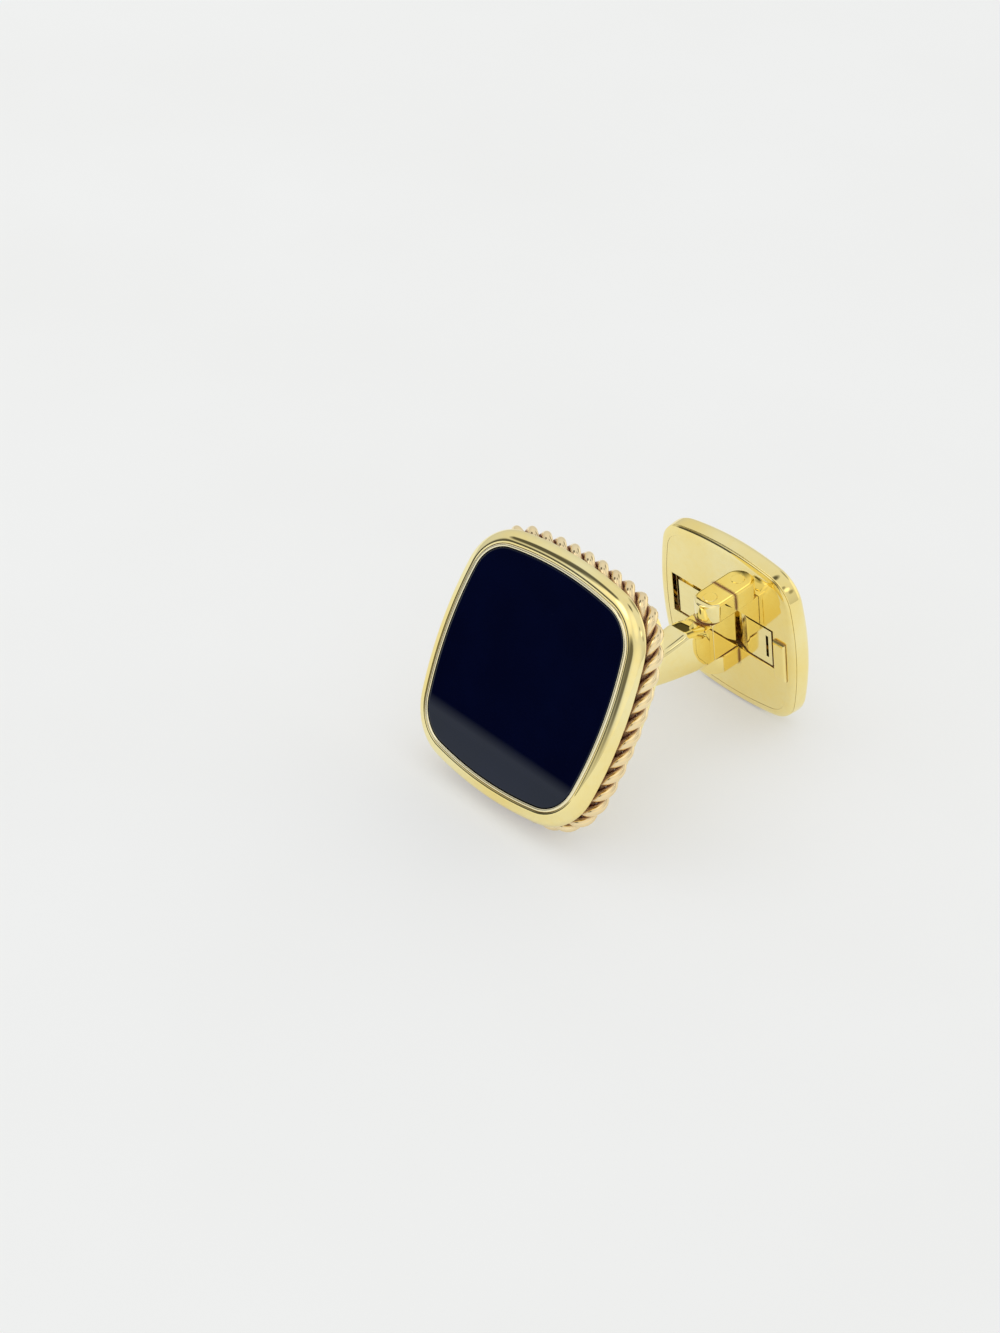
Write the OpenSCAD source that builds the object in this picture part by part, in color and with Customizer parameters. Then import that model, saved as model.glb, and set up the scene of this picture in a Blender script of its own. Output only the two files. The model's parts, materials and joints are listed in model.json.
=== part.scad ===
// Dress cufflink: a cushion face with a set stone and a twisted rope border, an arched post and
// a cushion toggle that turns on a pin at the post's end.
// The origin is on the table, under the middle of the whole link. X runs across the face, Y runs
// from the face to the toggle, and Z is up. The link stands as it is set down, on the rope's
// lowest lobe and on the lower edge of the toggle.

/* [Stone] */
// Half the width of the stone, middle of a side to its centre
stone_half = 7; // [6:0.1:9]
// Radius of the stone's bowed sides
stone_side_r = 25.16; // [20:0.02:36]
// Radius of the stone's corners
stone_corner_r = 2.69; // [2.2:0.01:3.6]
// Depth of the stone from its edge to its underside
stone_depth = 1.7; // [1.4:0.05:2.3]
// Rise of the stone's flat top over its edge
stone_crown = 0.05; // [0.02:0.01:0.1]
// Width of the rounding round the stone's top, and of the chamfer under it
stone_round = 0.12; // [0.1:0.01:0.8]

/* [Setting] */
// Thickness of the collar that holds the stone's edge
collar_t = 0.23; // [0.15:0.01:0.35]
// Rise of the collar over the stone's edge
collar_rise = 0.1; // [0.05:0.01:0.2]
// How far the collar reaches behind the band
collar_tail = 0.16; // [0.1:0.01:0.2]
// Width of the rounded band round the collar
band_w = 0.87; // [0.6:0.01:1.2]
// Depth of the rounded band
band_depth = 0.84; // [0.7:0.02:1.1]
// Height of the recess between band and rope
recess_h = 0.28; // [0.2:0.01:0.4]
// How far the recess lies in from the band's edge
recess_inset = 0.38; // [0.2:0.01:0.5]
// Reach of the side wall outside the stone's outline, beside the rope
wall_reach = 0.17; // [0.1:0.01:0.25]
// Thickness of the side wall beside the rope
wall_t = 0.42; // [0.3:0.01:0.6]
// Width of the bearing ring under the stone
seat_w = 0.75; // [0.5:0.05:1.2]
// Reach of the back plate outside the stone's outline
back_reach = 0.6; // [0.4:0.02:0.9]
// Thickness of the plate that closes the face
back_t = 0.6; // [0.4:0.05:1]

/* [Rope] */
// Radius of each of the two wires
wire_r = 0.32; // [0.24:0.01:0.4]
// Full twists in the way round
twists = 22; // [18:1:26]

/* [Stance] */
// Lean of the face, its front turned upwards, in degrees
face_lean = 22.12; // [10:0.02:30]
// Lean of the toggle, its top towards the face, in degrees
toggle_lean = 11.4; // [0:0.02:14]
// Distance from the middle of the stone's front to the toggle's rim
reach = 18.1; // [16:0.05:24]

/* [Post] */
// Width of the post
post_w = 2; // [1.4:0.05:2.2]
// Plain height of the post, along the toggle's upright
post_h = 2.3; // [1.8:0.05:2.6]
// Rounding of the post's long edges
post_round = 0.22; // [0.1:0.01:0.4]
// How far the post keeps the face's direction
lead_face = 7; // [4:0.1:7.5]
// How far the post keeps the toggle's direction
lead_toggle = 2; // [1:0.1:3]
// Radius of the pad at the post's end, which is let into the back plate
foot_r = 1.9; // [1.6:0.05:2.6]
// How far the pad stands out of the back plate
foot_t = 0.35; // [0.2:0.05:0.6]

/* [Hinge] */
// Radius of the hinge pin
pin_r = 0.35; // [0.25:0.01:0.45]
// Radial play of the pin in the knuckle
pin_play = 0.04; // [0.02:0.01:0.08]
// Radius of the pin's riveted heads
head_r = 0.47; // [0.46:0.01:0.7]
// Thickness of the pin's riveted heads
head_t = 0.06; // [0.05:0.01:0.3]
// Height of the pin over the toggle's rim line
pin_rise = 1.5; // [1.45:0.01:1.8]
// Width of the knuckle
knuckle_w = 1.9; // [1.3:0.05:2]
// Length of the knuckle along the pin
knuckle_h = 2.84; // [1.8:0.02:2.9]
// Distance from the pin to the knuckle's square inner end
knuckle_end = 1.25; // [1:0.01:1.3]
// Distance from the pin to the knuckle's joint with the post
knuckle_joint = 0.85; // [0.8:0.01:1.05]
// Chamfer of the knuckle's inner corners
knuckle_chamfer = 0.08; // [0.04:0.01:0.2]
// Thickness of each lug
lug_t = 1.4; // [0.7:0.05:1.6]
// Radius of each lug's round nose
lug_r = 1.06; // [0.8:0.01:1.1]
// Play between knuckle and lugs at each side
lug_play = 0.03; // [0.02:0.01:0.08]
// Room between the lugs' noses and the post's shoulders
shoulder_room = 0.1; // [0.06:0.01:0.3]

/* [Toggle] */
// Half the width of the toggle across its sides
toggle_half = 6.14; // [5.6:0.02:7]
// Radius of the toggle's bowed sides
toggle_side_r = 21.6; // [17:0.1:30]
// Radius of the toggle's corners
toggle_corner_r = 2.31; // [1.8:0.01:3]
// Width of the rim that slopes outwards round the inner plate
rim_w = 0.66; // [0.5:0.01:0.8]
// Height of the rim's inner edge over the rim line
rim_rise = 0.27; // [0.2:0.01:0.35]
// Height of the inner plate's face over the rim line
plate_rise = 0.25; // [0.15:0.01:0.28]
// Thickness of the inner plate
plate_t = 0.37; // [0.3:0.01:0.5]
// How far the shell's side bulges past the rim
shell_bulge = 0.06; // [0.05:0.01:0.3]
// Height of the shell's side
shell_side = 0.75; // [0.6:0.05:1.2]
// Height of the shell's dome
dome_h = 1.8; // [1.2:0.05:2.4]
// Thickness of the shell
shell_t = 0.4; // [0.3:0.01:0.5]

/* [Window and spring] */
// Width of the strip of plate between the window and the rim, where the folded post lies
window_strip = 0.48; // [0.1:0.02:0.6]
// Half the height of the window
window_half = 1.55; // [1.4:0.01:1.9]
// Depth of the tray's floor under the plate's face
tray_depth = 0.75; // [0.7:0.01:1]
// Thickness of the tray's walls and floor
tray_t = 0.25; // [0.15:0.01:0.3]
// Thickness of the leaf spring
spring_t = 0.2; // [0.1:0.01:0.22]
// Room round the leaf spring in the window
spring_room = 0.16; // [0.05:0.01:0.17]
// Depth of the spring's two ends under the plate's face
spring_drop = 0.05; // [0.02:0.01:0.2]
// Room between the spring's free end and the window's side
spring_free = 0.6; // [0.2:0.05:1.2]
// How much narrower the spring's free half is, at its upper edge
spring_notch = 0.14; // [0.05:0.01:0.3]
// Width of the slot across the spring beside the keeper
slot_w = 0.22; // [0.1:0.01:0.3]
// Half the length of that slot
slot_half = 0.85; // [0.5:0.05:1.2]
// Distance of that slot from the spring's fixed end
slot_back = 0.3; // [0.25:0.05:0.5]
// Length of each bend in the spring
spring_bend = 0.9; // [0.6:0.05:1.2]
// Width of the keeper, which reaches to the rim
keeper_w = 1.04; // [0.6:0.02:1.2]
// Gap between the window and the keeper
keeper_gap = 0.16; // [0.1:0.01:0.25]
// Reach of the keeper above the window's middle
keeper_up = 1.05; // [1:0.05:2]
// Reach of the keeper below the window's middle
keeper_down = 2; // [1:0.05:2.4]
// Height of the keeper over the plate's face
keeper_rise = 0.3; // [0.15:0.01:0.5]

/* [Hidden] */
$fn = 64;

// Solder seam between pieces that are nested or stacked
seam = 0.02;
// Overrun of every cut past the solid that it cuts
overrun = 0.5;

// Steps along each bowed side, each corner, each twist of a wire and the post
side_steps = 8;
corner_steps = 8;
twist_steps = 10;
wire_sides = 8;
post_steps = 24;
edge_steps = 4;
dome_steps = 6;

// Colours
gold = [0.93, 0.81, 0.48];
rose_gold = [0.90, 0.70, 0.46];
spring_gold = [0.88, 0.74, 0.38];
onyx = [0.03, 0.04, 0.09];
cement = [0.62, 0.60, 0.55];

// Outline of the rounded band as shares of its width and depth, from its inner edge outwards
band_shares = [[0, -0.02], [0.14, -0.05], [0.34, 0], [0.58, 0.12], [0.79, 0.31], [0.93, 0.55],
    [1, 0.8], [0.95, 0.94]];
// Outline of the collar's lip as shares of its thickness and rise, from its outer edge inwards
lip_shares = [[1, 0], [0.75, 0.75], [0.45, 1], [0.15, 0.75], [0, 0]];
// Rounding of the stone's top as shares of its width and of its rise
crown_shares = [[0, 0], [0.2, 0.45], [0.55, 0.85], [1, 1]];
// Bulge of the shell's side, as shares of its whole bulge and height
side_share = [0.7, 0.45];
// Outline of the toggle's rim as shares of its width and height, from its outer edge inwards
rim_shares = [[0, 0.16], [0.14, 0.5], [0.34, 0.76], [0.6, 0.93], [1, 1]];
// Height of the post over and under its centre line, as shares of its plain height along its way
post_top_shares = [[0, 0.54], [0.15, 0.5], [0.36, 0.43], [0.51, 0.56], [0.61, 0.7], [0.72, 0.83],
    [0.83, 0.79], [0.93, 0.7], [1, 0.62]];
post_under_shares = [[0, 0.54], [0.15, 0.5], [0.36, 0.56], [0.51, 0.55], [0.61, 0.58],
    [0.72, 0.62], [0.83, 0.68], [0.93, 0.7], [1, 0.66]];

// A cushion outline is [half width, side radius, corner radius]. Its points are found from the
// direction of its outward normal, so a parallel outline only adds to both radii.
stone = [stone_half, stone_side_r, stone_corner_r];
toggle = [toggle_half, toggle_side_r, toggle_corner_r];

function corner_centre(c) =
    let (u = c[0] - c[1], v = c[1] - c[2])
    (u + sqrt(2 * v * v - u * u)) / 2;

function side_turn(c) =
    let (q = corner_centre(c))
    atan2(q, q - c[0] + c[1]);

function outline_point(c, angle, grow) =
    let (limit = side_turn(c),
        side = floor((angle + limit) / 90),
        local = angle - 90 * side,
        q = corner_centre(c),
        on_side = local <= limit,
        centre = on_side ? [c[0] - c[1], 0] : [q, q],
        radius = grow + (on_side ? c[1] : c[2]),
        x = centre[0] + radius * cos(local),
        y = centre[1] + radius * sin(local))
    [x * cos(90 * side) - y * sin(90 * side), x * sin(90 * side) + y * cos(90 * side)];

function outline_angles(c) =
    let (limit = side_turn(c))
    [for (side = [0:3]) each [
        for (i = [0:side_steps - 1]) 90 * side - limit + 2 * limit * i / side_steps,
        for (i = [0:corner_steps - 1]) 90 * side + limit + (90 - 2 * limit) * i / corner_steps]];

function outline(c, grow) = [for (a = outline_angles(c)) outline_point(c, a, grow)];

// A ring that is shrunk to a share grows rounder on its way to the middle
function ring(c, grow, z, share = 1) =
    [for (p = outline(c, grow))
        let (round_share = 1 - share * share,
            k = share * (1 - round_share + round_share * (c[0] + grow) / norm(p)))
        [k * p[0], k * p[1], z]];

// Depths behind the stone's edge, and reaches outside its outline
collar_depth = band_depth + collar_tail;
collar_in = seam;
collar_out = collar_in + collar_t;
band_in = collar_out + seam;
band_out = band_in + band_w;
recess_out = band_out - recess_inset;
rope_r = 2 * wire_r + seam / 2;
rope_out = wall_reach + seam + rope_r;
recess_depth = band_depth + recess_h;
rope_depth = recess_depth + rope_r;
back_depth = rope_depth + rope_r + seam;
bed_depth = stone_depth + seam;
wall_in = wall_reach - wall_t;

// Length of the rope's centre line: a quarter of the way round, and the side's part of it
rope_side = (stone_side_r + rope_out) * 2 * side_turn(stone) * PI / 180;
rope_corner = (stone_corner_r + rope_out) * (90 - 2 * side_turn(stone)) * PI / 180;
rope_quarter = rope_side + rope_corner;

function rope_angle(way) =
    let (side = floor(way / rope_quarter),
        rest = way - side * rope_quarter,
        limit = side_turn(stone))
    90 * side + (rest < rope_side
        ? -limit + 2 * limit * rest / rope_side
        : limit + (90 - 2 * limit) * (rest - rope_side) / rope_corner);

// Each wire winds round the centre line at the wire's own radius. The first starts so that one
// of its lobes is the rope's lowest point.
twist_r = wire_r + seam / 2;
lowest_way = 3 * rope_quarter + rope_side / 2;
function wire_turn(way) =
    360 * twists * (way - lowest_way) / (4 * rope_quarter) + 90 + face_lean;

function wire_ring(way, phase) =
    let (angle = rope_angle(way),
        centre = outline_point(stone, angle, rope_out),
        out = [cos(angle), sin(angle), 0],
        along = [-sin(angle), cos(angle), 0],
        turn = wire_turn(way) + phase,
        spoke = [0, 0, cos(turn)] + sin(turn) * out,
        swing = [0, 0, -sin(turn)] + cos(turn) * out,
        pitch = 2 * PI * twist_r * twists / (4 * rope_quarter),
        across = (swing - pitch * along) / norm([1, pitch]),
        middle = [centre[0], centre[1], -rope_depth] + twist_r * spoke)
    [for (i = [0:wire_sides - 1])
        middle + wire_r * (cos(360 * i / wire_sides) * spoke + sin(360 * i / wire_sides) * across)];

function wire_rings(phase) =
    let (count = twists * twist_steps)
    [for (i = [0:count - 1]) wire_ring(4 * rope_quarter * i / count, phase)];

// Rings of the hollow shell, as [share, growth, height], from its outer crown to its edge and in
// again to its inner crown
dome_sweep = 84;
function dome_turn(i) = dome_sweep * i / dome_steps;
shell_rings = concat(
    [for (i = [dome_steps:-1:0])
        [cos(dome_turn(i)), shell_bulge, -shell_side - dome_h * sin(dome_turn(i))]],
    [[1, side_share[0] * shell_bulge, -side_share[1] * shell_side], [1, 0, 0], [1, -shell_t, 0]],
    [for (i = [0:dome_steps])
        [cos(dome_turn(i)), shell_bulge - shell_t,
            -shell_side - (dome_h - shell_t) * sin(dome_turn(i))]]);

// Heights over the table, and the middle of the link's length
band_points = [for (s = band_shares) [band_in + s[0] * band_w, -s[1] * band_depth]];
face_h = -min([for (phase = [0, 180]) for (r = wire_rings(phase)) for (p = r)
    p[1] * cos(face_lean) + p[2] * sin(face_lean)]);
toggle_h = max([for (s = shell_rings)
    s[0] * (toggle_half + s[1]) * cos(toggle_lean) + s[2] * sin(toggle_lean)]);
front_y = min([for (p = band_points)
    -(stone_half + p[0]) * sin(face_lean) - p[1] * cos(face_lean)]);
rear_y = reach + max([for (s = shell_rings)
    s[0] * (toggle_half + s[1]) * sin(toggle_lean) - s[2] * cos(toggle_lean)]);
face_y = -(front_y + rear_y) / 2;
toggle_y = face_y + reach;

// A point [up, out] of the face's or the toggle's own plane, as [y, z] over the table
function from_face(p) = [
    face_y + p[0] * sin(face_lean) - p[1] * cos(face_lean),
    face_h + p[0] * cos(face_lean) + p[1] * sin(face_lean)];
function from_toggle(p) = [
    toggle_y - p[0] * sin(toggle_lean) - p[1] * cos(toggle_lean),
    toggle_h + p[0] * cos(toggle_lean) - p[1] * sin(toggle_lean)];

// The post's centre line is one curve that leaves the pad square and meets the knuckle square
shoulder = pin_rise + lug_r + shoulder_room;
joint_rise = pin_rise + knuckle_joint;
post_start = from_face([0, -back_depth - back_t - foot_t]);
post_end = from_toggle([0, shoulder]);
post_lead_a = post_start + lead_face * [cos(face_lean), -sin(face_lean)];
post_lead_b = post_end - lead_toggle * [cos(toggle_lean), sin(toggle_lean)];

function post_point(t) =
    pow(1 - t, 3) * post_start + 3 * t * pow(1 - t, 2) * post_lead_a
    + 3 * t * t * (1 - t) * post_lead_b + pow(t, 3) * post_end;

function post_slope(t) =
    let (d = pow(1 - t, 2) * (post_lead_a - post_start)
        + 2 * t * (1 - t) * (post_lead_b - post_lead_a) + t * t * (post_end - post_lead_b))
    atan2(d[1], d[0]);

// Section of the post: a rectangle with rounded corners, in a plane square to the centre line
function post_ring(t) =
    let (p = post_point(t),
        slope = post_slope(t),
        top = post_h * lookup(t, post_top_shares),
        under = post_h * lookup(t, post_under_shares),
        half = post_w / 2 - post_round,
        corners = [[half, top - post_round, 0], [-half, top - post_round, 90],
            [-half, post_round - under, 180], [half, post_round - under, 270]])
    [for (c = corners) for (i = [0:edge_steps])
        let (a = c[2] + 90 * i / edge_steps,
            x = c[0] + post_round * cos(a),
            up = c[1] + post_round * sin(a))
        [x, p[0] - up * sin(slope), p[1] + up * cos(slope)]];

// Reach of the window from the middle of the toggle to both sides, and other places on the toggle
plate_half = toggle_half - rim_w - seam;
window_left = plate_half - window_strip;
window_right = plate_half - keeper_w - keeper_gap;
tray_floor = plate_rise - tray_depth;
lug_in = knuckle_h / 2 + lug_play;
lug_out = lug_in + lug_t;

// Skins rings of equal count with triangles. They are closed by flat ends, or joined round when
// looped.
module skin(rings, looped = false) {
    n = len(rings[0]);
    m = len(rings);
    sides = [for (j = [0:(looped ? m : m - 1) - 1]) for (i = [0:n - 1])
        let (k = (j + 1) % m, l = (i + 1) % n)
        each [[j * n + i, k * n + i, k * n + l], [j * n + i, k * n + l, j * n + l]]];
    ends = looped ? [] : [[for (i = [0:n - 1]) i], [for (i = [n - 1:-1:0]) (m - 1) * n + i]];
    polyhedron(points = [for (r = rings) each r], faces = concat(sides, ends));
}

// A ring of constant section round a cushion outline. The profile's points are [growth, height],
// counterclockwise with growth to the right.
module border(c, profile) {
    skin([for (p = profile) ring(c, p[0], p[1])], looped = true);
}

// A flat slab of cushion outline, between two heights
module slab(c, grow, low, high) {
    translate([0, 0, low])
        linear_extrude(high - low)
            polygon(outline(c, grow));
}

module on_face() {
    translate([0, face_y, face_h])
        rotate([90 - face_lean, 0, 0])
            children();
}

module on_toggle() {
    translate([0, toggle_y, toggle_h])
        rotate([90 + toggle_lean, 0, 0])
            children();
}

// A round bar along the hinge's axis, in the toggle's frame, between two distances from its middle
module hinge_bar(radius, low, high) {
    translate([0, low, pin_rise])
        rotate([-90, 0, 0])
            cylinder(r = radius, h = high - low);
}

// A block in the toggle's frame, from its low corner to its high corner
module block(low, high) {
    translate(low)
        cube(high - low);
}

module onyx_stone() {
    color(onyx)
        on_face()
            skin(concat([
                ring(stone, -seam - stone_round, -stone_depth),
                ring(stone, -seam, stone_round - stone_depth)],
                [for (s = crown_shares)
                    ring(stone, -seam - s[0] * stone_round, s[1] * stone_crown)]));
}

module stone_collar() {
    color(gold)
        on_face()
            border(stone, concat(
                [[collar_in, -collar_depth], [collar_out, -collar_depth]],
                [for (s = lip_shares) [collar_in + s[0] * collar_t, s[1] * collar_rise]]));
}

module bezel_frame() {
    color(gold)
        on_face()
            border(stone, concat(
                [[band_in, -band_depth], [band_out - recess_inset / 2, -band_depth]],
                [for (i = [len(band_points) - 1:-1:0]) band_points[i]]));
}

module stone_seat() {
    color(gold)
        on_face()
            border(stone, [
                [wall_in - seam - seat_w, -back_depth + seam],
                [wall_in - seam, -back_depth + seam],
                [wall_in - seam, -bed_depth],
                [wall_in - seam - seat_w, -bed_depth]]);
}

module stone_bed() {
    color(cement)
        on_face()
            slab(stone, wall_in - 2 * seam - seat_w, -back_depth + seam, -bed_depth);
}

// The wall steps in under the band as a dark recess, and again beside the rope
module gallery_wall() {
    color(rose_gold)
        on_face()
            border(stone, [
                [wall_in, -back_depth + seam],
                [wall_reach, -back_depth + seam],
                [wall_reach, -rope_depth + rope_r / 2],
                [wall_reach + rope_r / 4, -recess_depth - rope_r / 8],
                [recess_out, -recess_depth + seam],
                [recess_out, -band_depth - seam],
                [band_in, -band_depth - seam],
                [band_in, -collar_depth - seam],
                [0, -collar_depth - seam],
                [0, -bed_depth],
                [wall_in, -bed_depth]]);
}

module rope_strand_a() {
    color(rose_gold)
        on_face()
            skin(wire_rings(0), looped = true);
}

module rope_strand_b() {
    color(rose_gold)
        on_face()
            skin(wire_rings(180), looped = true);
}

module back_plate() {
    color(gold)
        on_face()
            difference() {
                slab(stone, back_reach, -back_depth - back_t, -back_depth);
                translate([0, 0, -back_depth - back_t - overrun])
                    cylinder(r = foot_r + seam, h = back_t + 2 * overrun);
            }
}

module post_foot() {
    color(gold)
        on_face()
            translate([0, 0, -back_depth - back_t - foot_t])
                cylinder(r = foot_r, h = back_t + foot_t);
}

module arched_post() {
    color(gold) {
        skin([for (i = [post_steps:-1:0]) post_ring(i / post_steps)]);
        on_toggle()
            block([-knuckle_w / 2, -knuckle_h / 2, joint_rise],
                [knuckle_w / 2, knuckle_h / 2, shoulder + post_round]);
    }
}

// The square block that turns between the lugs. Its inner corners press the leaf spring.
module post_knuckle() {
    color(gold)
        on_toggle()
            difference() {
                translate([0, knuckle_h / 2, 0])
                    rotate([90, 0, 0])
                        linear_extrude(knuckle_h)
                            polygon([
                                [-knuckle_w / 2, joint_rise],
                                [-knuckle_w / 2, pin_rise - knuckle_end + knuckle_chamfer],
                                [knuckle_chamfer - knuckle_w / 2, pin_rise - knuckle_end],
                                [knuckle_w / 2 - knuckle_chamfer, pin_rise - knuckle_end],
                                [knuckle_w / 2, pin_rise - knuckle_end + knuckle_chamfer],
                                [knuckle_w / 2, joint_rise]]);
                hinge_bar(pin_r + pin_play, -knuckle_h / 2 - overrun, knuckle_h / 2 + overrun);
            }
}

module hinge_pin() {
    color(rose_gold)
        on_toggle() {
            hinge_bar(pin_r, -lug_out, lug_out);
            hinge_bar(head_r, lug_out, lug_out + head_t);
            hinge_bar(head_r, -lug_out - head_t, -lug_out);
        }
}

// A lug stands on the plate beside the window and has a round nose about the pin
module lug(low, high) {
    color(gold)
        on_toggle()
            difference() {
                union() {
                    hinge_bar(lug_r, low, high);
                    block([-lug_r, low, plate_rise], [lug_r, high, pin_rise]);
                }
                hinge_bar(pin_r, low - overrun, high + overrun);
            }
}

module upper_lug() {
    lug(lug_in, lug_out);
}

module lower_lug() {
    lug(-lug_out, -lug_in);
}

module toggle_plate() {
    color(gold)
        on_toggle()
            difference() {
                slab(toggle, -rim_w - seam, plate_rise - plate_t, plate_rise);
                block([-window_left, -window_half, plate_rise - plate_t - overrun],
                    [window_right, window_half, plate_rise + overrun]);
            }
}

module toggle_rim() {
    color(gold)
        on_toggle()
            border(toggle, concat(
                [[-rim_w, seam], [0, seam]],
                [for (s = rim_shares) [-s[0] * rim_w, s[1] * rim_rise]]));
}

module toggle_shell() {
    color(gold)
        on_toggle()
            skin([for (s = shell_rings) ring(toggle, s[1], s[2], s[0])]);
}

module spring_tray() {
    top = plate_rise - plate_t - seam;
    color(gold)
        on_toggle()
            difference() {
                block([-window_left - tray_t, -window_half - tray_t, tray_floor - tray_t],
                    [window_right + tray_t, window_half + tray_t, top]);
                block([-window_left, -window_half, tray_floor],
                    [window_right, window_half, top + overrun]);
            }
}

// The spring lies just clear of the circle that the knuckle's corners run on. Its right end
// stands on the tray's floor, its left end is free and a little narrower.
module leaf_spring() {
    corner_reach = norm([knuckle_w / 2, knuckle_end]);
    flush = plate_rise - spring_drop;
    bed = pin_rise - corner_reach - spring_room / 2;
    bed_x = knuckle_w / 2 + spring_room / 2;
    bend_x = bed_x + spring_bend;
    right_x = window_right - spring_room;
    left_x = window_left - spring_free;
    half = window_half - spring_room;
    color(spring_gold)
        on_toggle()
            difference() {
                translate([0, half, 0])
                    rotate([90, 0, 0])
                        linear_extrude(2 * half)
                            polygon([
                                [right_x, flush],
                                [bend_x, flush],
                                [bed_x, bed],
                                [-bed_x, bed],
                                [-bend_x, flush],
                                [-left_x, flush],
                                [-left_x, flush - spring_t],
                                [-bend_x, flush - spring_t],
                                [-bed_x, bed - spring_t],
                                [bed_x, bed - spring_t],
                                [bend_x, flush - spring_t],
                                [right_x - spring_t, flush - spring_t],
                                [right_x - spring_t, tray_floor + seam],
                                [right_x, tray_floor + seam]]);
                block([-left_x - overrun, half - spring_notch, tray_floor],
                    [-bed_x, half + overrun, plate_rise]);
                block([right_x - slot_back - slot_w, -slot_half, tray_floor],
                    [right_x - slot_back, slot_half, plate_rise]);
            }
}

module spring_keeper() {
    color(gold)
        on_toggle()
            intersection() {
                slab(toggle, -rim_w - seam, plate_rise, plate_rise + keeper_rise);
                block([window_right + keeper_gap, -keeper_down, plate_rise - overrun],
                    [toggle_half, keeper_up, plate_rise + keeper_rise + overrun]);
            }
}

onyx_stone();
stone_collar();
bezel_frame();
stone_seat();
stone_bed();
gallery_wall();
rope_strand_a();
rope_strand_b();
back_plate();
post_foot();
arched_post();
post_knuckle();
hinge_pin();
upper_lug();
lower_lug();
toggle_plate();
toggle_rim();
toggle_shell();
spring_tray();
leaf_spring();
spring_keeper();
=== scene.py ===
"""Dress cufflink: a polished black stone in a gold band and rope border, an arched post and a
hinged cushion toggle, on a pale table under soft studio light.

Pieces are shaped in millimetres in the plane of the face or of the toggle: x across, y up the
plane, z out of it. Each is then set in its plane and turned into metres.
"""
import json
import logging
import math
from collections.abc import Callable, Iterable, Sequence
from dataclasses import dataclass, field, replace
from enum import Enum

import bmesh
import bpy
from bmesh.types import BMEdge, BMesh, BMVert
from mathutils import Matrix, Vector
from mathutils.geometry import interpolate_bezier


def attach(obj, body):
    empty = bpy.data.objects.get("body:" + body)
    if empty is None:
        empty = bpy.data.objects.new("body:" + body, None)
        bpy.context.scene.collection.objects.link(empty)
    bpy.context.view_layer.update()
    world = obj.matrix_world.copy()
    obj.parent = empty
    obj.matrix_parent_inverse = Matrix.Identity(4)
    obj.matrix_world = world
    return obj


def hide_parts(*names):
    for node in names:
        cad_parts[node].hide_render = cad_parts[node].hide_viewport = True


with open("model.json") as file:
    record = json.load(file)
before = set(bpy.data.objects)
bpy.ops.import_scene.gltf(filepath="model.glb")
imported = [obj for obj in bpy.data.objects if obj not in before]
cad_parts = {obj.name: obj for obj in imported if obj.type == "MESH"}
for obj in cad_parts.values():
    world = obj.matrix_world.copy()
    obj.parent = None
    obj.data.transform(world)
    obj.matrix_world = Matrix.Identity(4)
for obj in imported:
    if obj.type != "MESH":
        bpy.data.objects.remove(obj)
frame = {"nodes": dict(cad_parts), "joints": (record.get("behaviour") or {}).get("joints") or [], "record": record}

Point = tuple[float, float]
Triple = tuple[float, float, float]
Profile = list[Point]
Socket = bpy.types.NodeSocket

MM = 0.001
QUARTER = math.pi / 2
# Clearance between two pieces that touch, how near two places count as one, and how far a cutter
# reaches past what it cuts, all in millimetres
SEAM = 0.02
NEAR = 1e-4
OVERRUN = 1.0
# Angles in degrees over which an edge counts as sharp: on plates and pads, on blocks, and in shading
PLATE_EDGE = 30
BLOCK_EDGE = 60
SHADED_EDGE = 38
# Sides of the round pad and of its hole
ROUND_SIDES = 64

log = logging.getLogger("cufflink")


class Body(Enum):
    """The two bodies that the hinge joins."""

    FACE = "face"
    TOGGLE = "toggle"


class Shading(Enum):
    """How a piece's normals run over its edges."""

    SOFT = "soft"
    FACED = "faced"


class Axis(Enum):
    """The axes of a plane."""

    X = 0
    Y = 1
    Z = 2


# Planes and outlines


@dataclass(frozen=True)
class Plane:
    """A plane that pieces are shaped in, given by its middle, its up direction and its normal."""

    middle: Vector
    up: Vector
    out: Vector

    def matrix(self) -> Matrix:
        """Finds how the plane lies.

        Returns:
            The matrix from millimetres in the plane to metres over the table.
        """
        across = self.up.cross(self.out)
        turn = Matrix((across, self.up, self.out)).transposed().to_4x4()
        return Matrix.Translation(self.middle) @ turn @ Matrix.Scale(MM, 4)


def face_plane(mount_up: float, mount_out: float) -> Plane:
    """Finds the face's plane from the mount on its back.

    Args:
        mount_up: how far up the face the mount lies, in millimetres.
        mount_out: how far out of the stone's edge the mount lies, in millimetres.

    Returns:
        The plane of the stone's edge, about the stone's middle.
    """
    mount = next(m for m in frame["record"]["mounts"] if m["name"] == "cuff_face")
    out = -Vector(mount["axis"]).normalized()
    up = out.cross(Vector((1, 0, 0))).normalized()
    middle = Vector(mount["pos_m"]) - MM * (mount_up * up + mount_out * out)
    return Plane(middle, up, out)


def toggle_plane(pin_rise: float) -> Plane:
    """Finds the toggle's plane from the hinge.

    Args:
        pin_rise: height of the hinge pin over the toggle's rim line, in millimetres.

    Returns:
        The plane of the toggle's rim line, about the toggle's middle.
    """
    hinge = frame["joints"][0]
    up = Vector(hinge["axis"]).normalized()
    out = Vector((1, 0, 0)).cross(up).normalized()
    return Plane(Vector(hinge["pos_m"]) - MM * pin_rise * out, up, out)


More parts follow.
